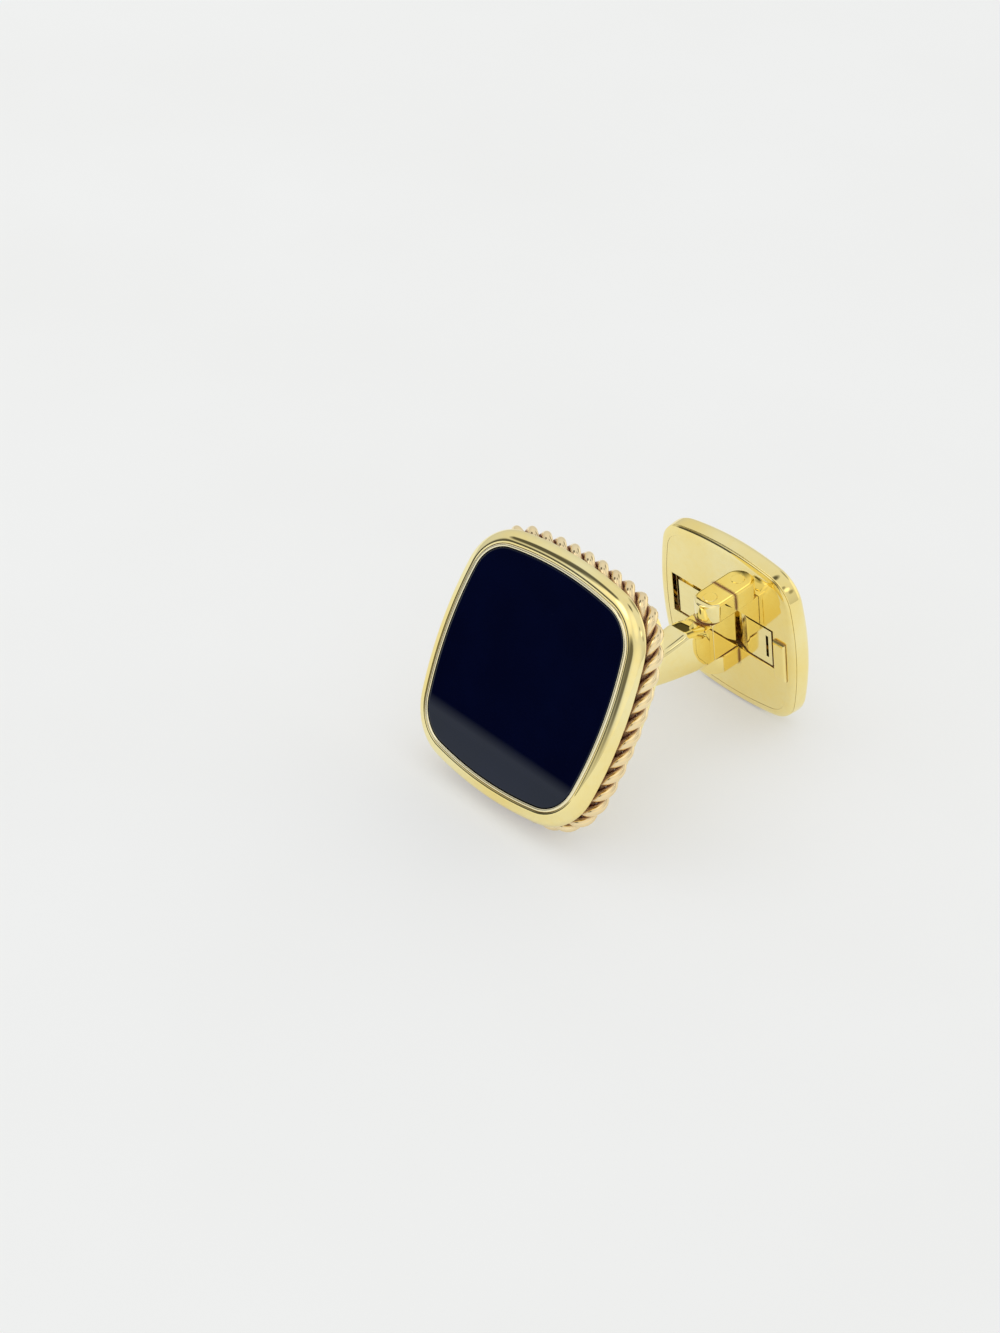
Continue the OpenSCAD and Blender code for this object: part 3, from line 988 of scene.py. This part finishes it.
@dataclass
class RopeBorder(Assembly):
    """Two wires twisted about each other round the setting."""

    setting: Setting
    wire_r: float = 0.32
    wire_steps: int = 6
    twists: int = 22
    twist_steps: int = 18
    reach: float = 0.84
    lean: float = 22.12
    sharp: float = 80

    @property
    def twist_r(self) -> float:
        """Radius that each wire winds at."""
        return self.wire_r + SEAM / 2

    def arc_lengths(self) -> Point:
        """Measures the rope's centre line.

        Returns:
            The length of a side's arc and of a corner's arc.
        """
        outline = self.setting.outline
        side = (outline.side_r + self.reach) * 2 * outline.side_turn
        return side, (outline.corner_r + self.reach) * (QUARTER - 2 * outline.side_turn)

    def normal_angle(self, way: float) -> float:
        """Finds which way the rope's centre line faces.

        Args:
            way: length along the centre line, in millimetres.

        Returns:
            The direction of the outward normal there, in radians.
        """
        side, corner = self.arc_lengths()
        limit = self.setting.outline.side_turn
        quarter, rest = divmod(way, side + corner)
        start = quarter * QUARTER
        if rest < side:
            return start - limit + 2 * limit * rest / side
        return start + limit + (QUARTER - 2 * limit) * (rest - side) / corner

    def centre_line(self, phase: float) -> list[Vector]:
        """Finds the centre line of a wire.

        Args:
            phase: start of the winding in radians.

        Returns:
            Its points in millimetres, once round.
        """
        side, corner = self.arc_lengths()
        length, count = 4 * (side + corner), self.twists * self.twist_steps
        # The winding is set from the middle of the lowest side, which the link stands on
        lowest = 3 * (side + corner) + side / 2
        depth = Vector((0, 0, self.setting.rope_depth))
        points = []
        for i in range(count):
            way = length * i / count
            angle = self.normal_angle(way)
            wound = math.tau * self.twists * (way - lowest) / length
            turn = wound + QUARTER + math.radians(self.lean) + phase
            out = Vector((math.cos(angle), math.sin(angle), 0))
            spoke = Vector((0, 0, math.cos(turn))) + math.sin(turn) * out
            points.append(self.setting.outline.point(angle, self.reach) + self.twist_r * spoke - depth)
        return points

    def strand(self, name: str, node: str, phase: float) -> None:
        """Makes one wire as a bevelled closed curve and turns it into a mesh.

        Args:
            name: name of the piece.
            node: solid that it stands for.
            phase: start of the winding in radians.
        """
        curve = bpy.data.curves.new(name, "CURVE")
        curve.dimensions, curve.bevel_depth, curve.bevel_resolution = "3D", self.wire_r, self.wire_steps
        points = self.centre_line(phase)
        spline = curve.splines.new("POLY")
        spline.points.add(len(points) - 1)
        for slot, point in zip(spline.points, points):
            slot.co = (*point, 1)
        spline.use_cyclic_u = True
        carrier = add_object(name, curve)
        bm = evaluated(carrier)
        bpy.data.objects.remove(carrier)
        bpy.data.curves.remove(curve)
        face_out(bm)
        self.piece(bm, name, node, self.finishes.rose, Body.FACE, sharp=self.sharp)

    def build(self) -> None:
        """Makes both wires."""
        self.strand("rope_a", "rope_strand_a", 0.0)
        self.strand("rope_b", "rope_strand_b", math.pi)


# The toggle


@dataclass
class Toggle(Assembly):
    """The hollow cushion toggle: its domed shell, its sloping rim and its flat inner plate."""

    outline: Cushion = Cushion(6.14, 21.6, 2.31)
    rim_w: float = 0.66
    rim_rise: float = 0.27
    rim_steps: int = 4
    plate_rise: float = 0.25
    plate_t: float = 0.37
    plate_gap: float = 0.004
    shell_bulge: float = 0.06
    shell_side: float = 0.75
    side_steps: int = 3
    shell_t: float = 0.4
    dome_h: float = 1.8
    dome_turn: float = 88
    dome_rings: int = 23
    window_strip: float = 0.48
    window_half: float = 1.55
    window_round: float = 0.07
    keeper_w: float = 1.04
    keeper_gap: float = 0.16
    groove: float = 0.03
    side_line: tuple[Point, ...] = ((0.02, -0.16), (0.04, -0.34), (0.055, -0.56))
    rim_shares: tuple[Point, ...] = ((0, 0.16), (0.14, 0.5), (0.34, 0.76), (0.6, 0.93), (1, 1))

    @property
    def plate_half(self) -> float:
        """Half the width of the inner plate."""
        return self.outline.half - self.rim_w - SEAM

    @property
    def window_left(self) -> float:
        """Reach of the window to its open side."""
        return self.plate_half - self.window_strip

    @property
    def window_right(self) -> float:
        """Reach of the window to the keeper's side."""
        return self.plate_half - self.keeper_w - self.keeper_gap

    def plate(self) -> None:
        """Makes the inner plate with its window."""
        left, right, half = self.window_left, self.window_right, self.window_half
        under, top = self.plate_rise - self.plate_t, self.plate_rise
        bm = self.outline.sweep([(-self.rim_w - self.plate_gap, under)], closed=False)
        corners = (-left, -half), (right, -half), (right, half), (-left, half)
        loop_of(bm, [(x, y, under) for x, y in corners])
        slab(bm, Vector((0, 0, self.plate_t)))
        upper = edges_at(sharp_edges(bm, PLATE_EDGE), Axis.Z, top)
        window = edges_where(upper, lambda co: abs(co.y) < half + NEAR and abs(co.x) < left + NEAR)
        round_edges(bm, window, self.window_round)
        self.piece(bm, "plate", "toggle_plate", self.finishes.tarnished_and_shaded, Body.TOGGLE, Shading.FACED)

    def rim(self) -> None:
        """Makes the rim that slopes outwards to a fine groove over the shell."""
        corners = share_line(self.rim_shares, (0, 0), (-self.rim_w, self.rim_rise))
        slope = smooth_line(corners, self.rim_steps)
        bm = self.outline.sweep([(-self.rim_w, SEAM), (-self.groove, SEAM)] + slope[1:])
        self.piece(bm, "rim", "toggle_rim", self.finishes.yellow, Body.TOGGLE)

    def shell(self) -> None:
        """Makes the domed shell: a spun side, then rings that grow rounder up the dome."""
        side = [(-self.groove, 0), (0, -self.groove), *self.side_line, (self.shell_bulge, -self.shell_side)]
        bm = self.outline.sweep(smooth_line(side, self.side_steps), closed=False)
        reach = bm.verts.layers.float.new("reach")
        edges = edges_at(open_edges(bm), Axis.Z, -self.shell_side)
        for vert in {v for e in edges for v in e.verts}:
            vert[reach] = vert.co.xy.length
        middle = self.outline.half + self.shell_bulge
        for i in range(1, self.dome_rings + 1):
            turn = math.radians(self.dome_turn) * i / self.dome_rings
            share = math.cos(turn)
            made = bmesh.ops.extrude_edge_only(bm, edges=edges)["geom"]
            edges = [g for g in made if isinstance(g, BMEdge)]
            for vert in (g for g in made if isinstance(g, BMVert)):
                rounder = 1 - share * share
                size = share * ((1 - rounder) * vert[reach] + rounder * middle)
                vert.co.xy = vert.co.xy.normalized() * size
                vert.co.z = -self.shell_side - self.dome_h * math.sin(turn)
        made = bmesh.ops.contextual_create(bm, geom=edges)["faces"]
        bmesh.ops.poke(bm, faces=made)
        face_out(bm)
        # The side is still open at the rim, so the dome's tip tells whether the faces point outwards
        if min(bm.faces, key=lambda f: f.calc_center_median().z).normal.z > 0:
            bmesh.ops.reverse_faces(bm, faces=bm.faces)
        bmesh.ops.solidify(bm, geom=list(bm.faces), thickness=self.shell_t)
        self.piece(bm, "shell", "toggle_shell", self.finishes.yellow, Body.TOGGLE)

    def build(self) -> None:
        """Makes every piece of the toggle's body."""
        self.plate()
        self.rim()
        self.shell()


@dataclass
class Hinge(Assembly):
    """The square knuckle on the post, the two lugs beside it and the riveted pin."""

    toggle: Toggle
    pin_r: float = 0.35
    pin_play: float = 0.04
    pin_steps: int = 32
    head_r: float = 0.47
    head_t: float = 0.06
    head_round: float = 0.025
    head_shares: Point = (0.1, 0.4)
    head_sharp: float = 25
    pin_rise: float = 1.5
    knuckle_w: float = 1.9
    knuckle_h: float = 2.84
    knuckle_end: float = 1.25
    knuckle_joint: float = 0.85
    knuckle_chamfer: float = 0.128
    knuckle_round: float = 0.08
    lug_t: float = 1.4
    lug_r: float = 1.06
    lug_play: float = 0.03
    lug_round: float = 0.09
    nose_round: float = 0.2
    nose_steps: int = 28

    @property
    def lug_in(self) -> float:
        """Distance of a lug's inner side from the middle of the pin."""
        return self.knuckle_h / 2 + self.lug_play

    def knuckle(self) -> None:
        """Makes the knuckle with its bore and eased edges."""
        half = self.knuckle_h / 2
        bm = block((-self.knuckle_w / 2, -half, self.pin_rise - self.knuckle_end),
                   (self.knuckle_w / 2, half, self.pin_rise + self.knuckle_joint))
        low = edges_where(edges_along(bm.edges, Axis.Y, half), lambda co: co.z < self.pin_rise)
        round_edges(bm, low, self.knuckle_chamfer)
        round_edges(bm, sharp_edges(bm, BLOCK_EDGE), self.knuckle_round)
        bm = carve(bm, bar(self.pin_r + self.pin_play, -half - OVERRUN, half + OVERRUN, self.pin_rise))
        self.piece(bm, "knuckle", "post_knuckle", self.finishes.tarnished_and_shaded, Body.FACE, Shading.FACED)

    def lug(self, name: str, node: str, low: float) -> None:
        """Makes a lug with a round nose.

        Args:
            name: name of the piece.
            node: solid that it stands for.
            low: where the lug starts on the pin.
        """
        foot, high = self.toggle.plate_rise, low + self.lug_t
        bm = bmesh.new()
        start = bm.verts.new((self.lug_r, low, self.pin_rise))
        bmesh.ops.spin(bm, geom=[start], cent=(0, low, self.pin_rise), axis=(0, -1, 0), dvec=(0, 0, 0),
                       angle=math.pi, steps=self.nose_steps, use_merge=False)
        ends = sorted(bm.verts, key=lambda v: (round(v.co.z, 5), v.co.x))[:2]
        feet = [bm.verts.new((v.co.x, low, foot)) for v in ends]
        for pair in (*zip(feet, ends), feet):
            bm.edges.new(pair)
        bmesh.ops.contextual_create(bm, geom=list(bm.edges))
        thicken(bm, Vector((0, self.lug_t, 0)))
        far = max(low, high, key=abs)
        sharp = sharp_edges(bm, BLOCK_EDGE)
        kept = edges_at(sharp, Axis.Z, foot) + edges_at(sharp, Axis.Y, far)
        round_edges(bm, [e for e in sharp if e not in kept], self.lug_round)
        outer = edges_at(sharp_edges(bm, BLOCK_EDGE), Axis.Y, far)
        kept = edges_at(outer, Axis.Z, foot)
        round_edges(bm, [e for e in outer if e not in kept], self.nose_round, segments=5)
        bm = carve(bm, bar(self.pin_r, low - OVERRUN, high + OVERRUN, self.pin_rise))
        self.piece(bm, name, node, self.finishes.tarnished_and_shaded, Body.TOGGLE, Shading.FACED)

    def pin(self) -> None:
        """Makes the pin with its nearly flush heads, by turning its outline about its axis."""
        bm = bmesh.new()
        end = self.lug_in + self.lug_t
        edge, top = (end + share * self.head_t for share in self.head_shares)
        half = [(self.pin_r, 0), (self.pin_r, end), (self.head_r, end), (self.head_r, edge),
                (self.head_r - self.head_round, top)]
        outline = [(r, -y) for r, y in half[:0:-1]] + half
        verts = [bm.verts.new((r, y, self.pin_rise)) for r, y in outline]
        geom = verts + [bm.edges.new(pair) for pair in zip(verts, verts[1:])]
        bmesh.ops.spin(bm, geom=geom, cent=(0, 0, self.pin_rise), axis=(0, 1, 0), dvec=(0, 0, 0),
                       angle=math.tau, steps=self.pin_steps, use_merge=True)
        bmesh.ops.remove_doubles(bm, verts=bm.verts, dist=NEAR)
        bmesh.ops.holes_fill(bm, edges=open_edges(bm), sides=0)
        face_out(bm)
        self.piece(bm, "pin", "hinge_pin", self.finishes.tarnished_and_shaded, Body.TOGGLE, Shading.FACED, self.head_sharp)

    def build(self) -> None:
        """Makes every piece of the hinge."""
        self.knuckle()
        self.lug("lug_high", "upper_lug", self.lug_in)
        self.lug("lug_low", "lower_lug", -self.lug_in - self.lug_t)
        self.pin()


@dataclass
class WindowSpring(Assembly):
    """The tray under the window, the leaf spring in it and the keeper on its right end."""

    toggle: Toggle
    hinge: Hinge
    tray_depth: float = 0.75
    tray_t: float = 0.25
    tray_round: float = 0.03
    spring_t: float = 0.2
    spring_room: float = 0.16
    spring_drop: float = 0.05
    spring_bend: float = 0.9
    spring_free: float = 0.6
    spring_notch: float = 0.14
    bend_round: float = 0.2
    bend_over: Point = (4, 60)
    slot_w: float = 0.22
    slot_half: float = 0.85
    slot_back: float = 0.3
    keeper_up: float = 1.05
    keeper_down: float = 2.0
    keeper_rise: float = 0.3
    keeper_round: float = 0.26

    def tray(self) -> None:
        """Makes the shallow tray that closes the window from behind."""
        t = self.toggle
        floor, top = t.plate_rise - self.tray_depth, t.plate_rise - t.plate_t - SEAM
        wall, half = self.tray_t, t.window_half
        bm = block((-t.window_left - wall, -half - wall, floor - wall),
                   (t.window_right + wall, half + wall, top))
        bm = carve(bm, block((-t.window_left, -half, floor), (t.window_right, half, top + OVERRUN)))
        round_edges(bm, sharp_edges(bm, BLOCK_EDGE), self.tray_round, segments=2)
        self.piece(bm, "tray", "spring_tray", self.finishes.tarnished_and_shaded, Body.TOGGLE, Shading.FACED)

    def spring(self) -> None:
        """Makes the bent leaf spring from one long strip, and cuts its slot and its narrow half."""
        t, h, thick = self.toggle, self.hinge, self.spring_t
        corner = math.hypot(h.knuckle_w / 2, h.knuckle_end)
        flush, floor = t.plate_rise - self.spring_drop, t.plate_rise - self.tray_depth + SEAM
        bed = h.pin_rise - corner - self.spring_room / 2
        bed_x = h.knuckle_w / 2 + self.spring_room / 2
        bend_x = bed_x + self.spring_bend
        left, right = t.window_left - self.spring_free, t.window_right - self.spring_room
        half = t.window_half - self.spring_room
        line = [(-left, flush), (-bend_x, flush), (-bed_x, bed), (bed_x, bed), (bend_x, flush),
                (right, flush), (right, floor), (right - thick, floor), (right - thick, flush - thick),
                (bend_x, flush - thick), (bed_x, bed - thick), (-bed_x, bed - thick),
                (-bend_x, flush - thick), (-left, flush - thick)]
        bm = bmesh.new()
        bmesh.ops.contextual_create(bm, geom=loop_of(bm, [(x, -half, z) for x, z in line]))
        thicken(bm, Vector((0, 2 * half, 0)))
        low, high = map(math.radians, self.bend_over)
        bends = [e for e in edges_along(bm.edges, Axis.Y, half) if low < e.calc_face_angle(0) < high]
        round_edges(bm, bends, self.bend_round, segments=5)
        notch = half - self.spring_notch
        bm = carve(bm, block((-left - OVERRUN, notch, -OVERRUN), (-bed_x, half + OVERRUN, OVERRUN)))
        slot = right - self.slot_back
        bm = carve(bm, block((slot - self.slot_w, -self.slot_half, -OVERRUN),
                             (slot, self.slot_half, OVERRUN)))
        self.piece(bm, "spring", "leaf_spring", self.finishes.spring, Body.TOGGLE, Shading.FACED)

    def keeper(self) -> None:
        """Makes the small keeper that stands between the window and the rim."""
        t, top = self.toggle, self.toggle.plate_rise + self.keeper_rise
        bm = block((t.window_right + t.keeper_gap, -self.keeper_down, t.plate_rise),
                   (t.plate_half - SEAM, self.keeper_up, top))
        round_edges(bm, edges_at(bm.edges, Axis.Z, top), self.keeper_round, segments=5)
        self.piece(bm, "keeper", "spring_keeper", self.finishes.tarnished_and_shaded, Body.TOGGLE, Shading.FACED)

    def build(self) -> None:
        """Makes every piece of the window."""
        self.tray()
        self.spring()
        self.keeper()


# The back of the face, and the post from it to the hinge


@dataclass
class BackAndPost(Assembly):
    """The plate that closes the face, the pad let into it and the arched post."""

    setting: Setting
    hinge: Hinge
    reach: float = 0.6
    back_t: float = 0.6
    back_round: float = 0.14
    foot_r: float = 1.9
    foot_t: float = 0.35
    foot_round: float = 0.12
    post_w: float = 2.0
    post_h: float = 2.3
    post_round: float = 0.5
    post_sharp: float = 50
    end_round: float = 0.06
    neck_lap: float = 0.3
    lead_face: float = 7.0
    lead_toggle: float = 2.0
    shoulder: float = 2.66
    joint_rise: float = 2.35
    stations: int = 48
    top_shares: tuple[Point, ...] = (
        (0, 0.54), (0.15, 0.5), (0.36, 0.43), (0.51, 0.56), (0.61, 0.7),
        (0.72, 0.83), (0.83, 0.79), (0.93, 0.7), (1, 0.62))
    under_shares: tuple[Point, ...] = (
        (0, 0.54), (0.15, 0.5), (0.36, 0.56), (0.51, 0.55), (0.61, 0.58),
        (0.72, 0.62), (0.83, 0.68), (0.93, 0.7), (1, 0.66))

    def back(self) -> None:
        """Makes the back plate, with the hole for the pad and rounded edges."""
        level = -self.setting.back_depth
        bm = self.setting.outline.sweep([(self.reach, level)], closed=False)
        hole = bmesh.ops.create_circle(bm, segments=ROUND_SIDES, radius=self.foot_r + SEAM)["verts"]
        bmesh.ops.translate(bm, vec=(0, 0, level), verts=hole)
        slab(bm, Vector((0, 0, -self.back_t)))
        rim = edges_where(sharp_edges(bm, PLATE_EDGE), lambda co: co.xy.length > 2 * self.foot_r)
        round_edges(bm, rim, self.back_round, segments=4)
        self.piece(bm, "back", "back_plate", self.finishes.yellow, Body.FACE, Shading.FACED)

    def pad(self) -> None:
        """Makes the round pad with a soft upper edge."""
        height = self.back_t + self.foot_t
        far = -self.setting.back_depth - height
        bm = bmesh.new()
        bmesh.ops.create_cone(bm, cap_ends=True, segments=ROUND_SIDES,
                              radius1=self.foot_r, radius2=self.foot_r, depth=height)
        bmesh.ops.translate(bm, vec=(0, 0, far + height / 2), verts=bm.verts)
        round_edges(bm, edges_at(sharp_edges(bm, PLATE_EDGE), Axis.Z, far), self.foot_round, segments=4)
        self.piece(bm, "pad", "post_foot", self.finishes.yellow, Body.FACE, Shading.FACED)

    def centre_line(self) -> tuple[Vector, ...]:
        """Finds the post's centre line.

        Returns:
            Its four control points, in millimetres over the table.
        """
        face, toggle = self.plane, self.hinge.plane
        depth = self.setting.back_depth + self.back_t + self.foot_t
        start = (face.matrix() @ Vector((0, 0, -depth))) / MM
        end = (toggle.matrix() @ Vector((0, 0, self.shoulder))) / MM
        return start, start - self.lead_face * face.out, end + self.lead_toggle * toggle.out, end

    def section(self, share: float) -> tuple[Vector, Vector, Point]:
        """Finds the post's section at a share of its centre line.

        Args:
            share: nought at the face, one at the toggle.

        Returns:
            The section's middle, the direction of its height, and where its lower and upper sides lie.
        """
        t, (a, b, c, d) = share, self.centre_line()
        middle = (1 - t) ** 3 * a + 3 * t * (1 - t) ** 2 * b + 3 * t * t * (1 - t) * c + t ** 3 * d
        along = ((1 - t) ** 2 * (b - a) + 2 * t * (1 - t) * (c - b) + t * t * (d - c)).normalized()
        sides = -self.post_h * lookup(self.under_shares, t), self.post_h * lookup(self.top_shares, t)
        return middle, Vector((1, 0, 0)).cross(along), sides

    def neck(self) -> BMesh:
        """Makes the short neck between the post and the knuckle.

        Returns:
            Its mesh, in millimetres over the table.
        """
        half = Vector((self.hinge.knuckle_w, self.hinge.knuckle_h)) / 2
        bm = block((-half.x, -half.y, self.joint_rise), (half.x, half.y, self.shoulder + self.neck_lap))
        round_edges(bm, edges_along(bm.edges, Axis.Z, self.neck_lap), self.end_round)
        bmesh.ops.transform(bm, matrix=Matrix.Scale(1 / MM, 4) @ self.hinge.plane.matrix(), verts=bm.verts)
        return bm

    def post(self) -> None:
        """Makes the arched post from one section, moved and stretched along its centre line."""
        bm = bmesh.new()
        bmesh.ops.create_grid(bm, x_segments=1, y_segments=1, size=1)
        bmesh.ops.delete(bm, geom=list(bm.faces), context="FACES_ONLY")
        corners = sorted(bm.verts, key=lambda v: math.atan2(v.co.y, v.co.x))
        places = [(math.copysign(self.post_w / 2, v.co.x), v.co.y > 0) for v in corners]
        edges, long_edges = list(bm.edges), []
        for i in range(self.stations + 1):
            if i:
                made = bmesh.ops.extrude_edge_only(bm, edges=edges)["geom"]
                edges = [g for g in made if isinstance(g, BMEdge)]
                rails = [next(e for e in v.link_edges if e.other_vert(v) in made) for v in corners]
                corners = [e.other_vert(v) for e, v in zip(rails, corners)]
                long_edges += rails
            middle, rise, sides = self.section(i / self.stations)
            for vert, (across, is_top) in zip(corners, places):
                vert.co = middle + across * Vector((1, 0, 0)) + sides[is_top] * rise
        bmesh.ops.holes_fill(bm, edges=open_edges(bm), sides=4)
        face_out(bm)
        round_edges(bm, long_edges, self.post_round, segments=5)
        round_edges(bm, sharp_edges(bm, BLOCK_EDGE), self.end_round, segments=2)
        join(bm, self.neck())
        table = Plane(Vector((0, 0, 0)), Vector((0, 1, 0)), Vector((0, 0, 1)))
        self.maker.piece(bm, "post", "arched_post", table, self.finishes.yellow, Body.FACE, Shading.FACED,
                         self.post_sharp)

    def build(self) -> None:
        """Makes every piece of the back."""
        self.back()
        self.pad()
        self.post()


# The studio


@dataclass(frozen=True)
class Patch:
    """A screen or a dark gap of the room, as a round patch about a direction."""

    azimuth: float
    elevation: float
    core: float
    edge: float
    level: float
    warmth: Point = (0.97, 0.88)

    @property
    def way(self) -> Vector:
        """The direction of the patch's middle."""
        turn, rise = math.radians(self.azimuth), math.radians(self.elevation)
        return Vector((math.cos(turn) * math.cos(rise), math.sin(turn) * math.cos(rise), math.sin(rise)))

    @property
    def colour(self) -> Triple:
        """The light of the patch, a little warm."""
        return self.level, self.level * self.warmth[0], self.level * self.warmth[1]


@dataclass
class Studio:
    """The white table, the soft light and the camera of the picture."""

    maker: Maker
    camera_place: Triple = (0.11167, -0.11593, 0.10621)
    azimuth: float = 46.796
    elevation: float = 32.115
    roll: float = 3.556
    lens: float = 81.02
    sensor: float = 36.0
    near_clip: float = 0.01
    table_half: float = 2.0
    table_cells: int = 8
    sky: float = 1.0
    sky_colour: Triple = (0.97, 0.985, 1.0)
    key_place: Triple = (-0.28, -0.1, 0.42)
    key_size: float = 0.25
    key_power: float = 0.12
    wall_stops: tuple[Point, ...] = ((0, 0.62), (0.17, 0.68), (0.5, 0.74), (0.77, 0.8), (1, 0.78))
    front_stops: tuple[Point, ...] = (
        (0, 0.87), (0.0008, 0.87), (0.0012, 0.01), (0.08, 0.02),
        (0.15, 0.08), (0.37, 0.1), (0.46, 0.75), (1, 0.8))
    front: Patch = Patch(-130, 12, 14, 25, 0.0)
    patches: tuple[Patch, ...] = (
        Patch(-30, 3, 20, 42, 0.92),
        Patch(-112, 44, 10, 24, 1.1),
        Patch(75, 10, 18, 35, 1.08),
        Patch(-45, 62, 10, 25, 1.05),
        Patch(-115, 47, 7, 12, 1.9),
        Patch(-149, 39, 7, 12, 0.1),
        Patch(-150, 53, 6, 11, 0.12),
        Patch(-85, 17, 9, 17, 0.15),
        Patch(-105, 10, 5, 11, 0.15),
        Patch(92, 42, 7, 16, 0.33),
        Patch(80, 82, 3, 9, 0.12),
        Patch(15, 51, 1.5, 5, 0.35),
        Patch(24, 30, 2, 6, 0.35),
        Patch(19, 41, 2, 6, 1.4))

    def table(self) -> None:
        """Makes the table top."""
        bm = bmesh.new()
        cells = self.table_cells
        bmesh.ops.create_grid(bm, x_segments=cells, y_segments=cells, size=self.table_half)
        mesh = mesh_of(bm, "table")
        mesh.materials.append(self.maker.finishes.get(self.maker.finishes.table))
        add_object("table", mesh)

    def room(self) -> None:
        """Makes the room: an even light for dull surfaces, and walls, screens and dark gaps for gloss."""
        world = bpy.data.worlds.new("room")
        bpy.context.scene.world = world
        world.use_nodes = True
        bench = NodeBench(world)
        even = world.node_tree.nodes["Background"]
        even.inputs["Color"].default_value = (*self.sky_colour, 1.0)
        even.inputs["Strength"].default_value = self.sky
        way = bench.node("TexCoord").outputs["Generated"]
        parts = bench.node("SeparateXYZ")
        bench.link(way, parts.inputs[0])
        walls = self.ramp(bench, parts.outputs["Z"], self.wall_stops)
        front = self.ramp(bench, parts.outputs["Z"], self.front_stops)
        tone = bench.mix(self.facing(bench, way, self.front), walls, front)
        for patch in self.patches:
            tone = bench.mix(self.facing(bench, way, patch), tone, patch.colour)
        glossy = bench.node("Background", Strength=1.0)
        bench.link(tone, glossy.inputs["Color"])
        pick = bench.node("MixShader")
        bench.link(bench.node("LightPath").outputs["Is Glossy Ray"], pick.inputs["Fac"])
        bench.link(even.outputs[0], pick.inputs[1])
        bench.link(glossy.outputs[0], pick.inputs[2])
        bench.link(pick.outputs[0], world.node_tree.nodes["World Output"].inputs["Surface"])

    def ramp(self, bench: NodeBench, source: Socket, stops: Sequence[Point]) -> Socket:
        """Adds grey values along a source.

        Args:
            bench: bench of the world.
            source: socket that the values follow.
            stops: rows of a place and its value.

        Returns:
            The grey value.
        """
        made = bench.node("ValToRGB")
        elements = made.color_ramp.elements
        for element, (_, value) in zip(elements, (stops[0], stops[-1])):
            element.color = (value, value, value, 1)
        for place, value in stops[1:-1]:
            elements.new(place).color = (value, value, value, 1)
        bench.link(source, made.inputs["Fac"])
        return made.outputs["Color"]

    def facing(self, bench: NodeBench, way: Socket, patch: Patch) -> Socket:
        """Adds a test of how far a direction lies in a patch.

        Args:
            bench: bench of the world.
            way: socket of the direction.
            patch: the patch.

        Returns:
            The share, from nought at the patch's edge to one in its core.
        """
        dot = bench.node("VectorMath", operation="DOT_PRODUCT")
        dot.inputs[1].default_value = patch.way
        bench.link(way, dot.inputs[0])
        edge, core = math.cos(math.radians(patch.edge)), math.cos(math.radians(patch.core))
        return bench.spread(dot.outputs["Value"], 0.0, 1.0, (edge, core))

    def lamp(self) -> None:
        """Hangs a square soft lamp that points at the link and that gloss doesn't show."""
        light = bpy.data.lights.new("key", "AREA")
        light.size, light.energy = self.key_size, self.key_power
        lamp = add_object("key", light)
        lamp.location = self.key_place
        lamp.visible_glossy = False
        lamp.rotation_euler = (-Vector(self.key_place)).to_track_quat("-Z", "Y").to_euler()

    def camera(self) -> None:
        """Sets the camera where the picture was taken from."""
        data = bpy.data.cameras.new("camera")
        data.lens, data.sensor_width, data.sensor_fit = self.lens, self.sensor, "AUTO"
        data.clip_start = self.near_clip
        camera = add_object("camera", data)
        turn = (Matrix.Rotation(math.radians(self.azimuth), 4, "Z")
                @ Matrix.Rotation(math.radians(90 - self.elevation), 4, "X")
                @ Matrix.Rotation(math.radians(self.roll), 4, "Z"))
        camera.matrix_world = Matrix.Translation(self.camera_place) @ turn
        bpy.context.scene.camera = camera

    def build(self) -> None:
        """Makes the table, the light and the camera."""
        self.table()
        self.room()
        self.lamp()
        self.camera()
        bpy.context.scene.view_settings.view_transform = "Standard"


def main() -> None:
    """Builds the link and its studio."""
    logging.basicConfig(level=logging.INFO, format="%(name)s: %(message)s")
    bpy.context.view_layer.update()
    maker = Maker(Finishes())
    face, turned = face_plane(mount_up=-4.0, mount_out=-3.04), toggle_plane(Hinge.pin_rise)
    setting, toggle = Setting(maker, face), Toggle(maker, turned)
    hinge = Hinge(maker, turned, toggle)
    for part in (setting, RopeBorder(maker, face, setting), BackAndPost(maker, face, setting, hinge), hinge,
                 toggle, WindowSpring(maker, turned, toggle, hinge), Studio(maker)):
        part.build()


if __name__ == "__main__":
    main()
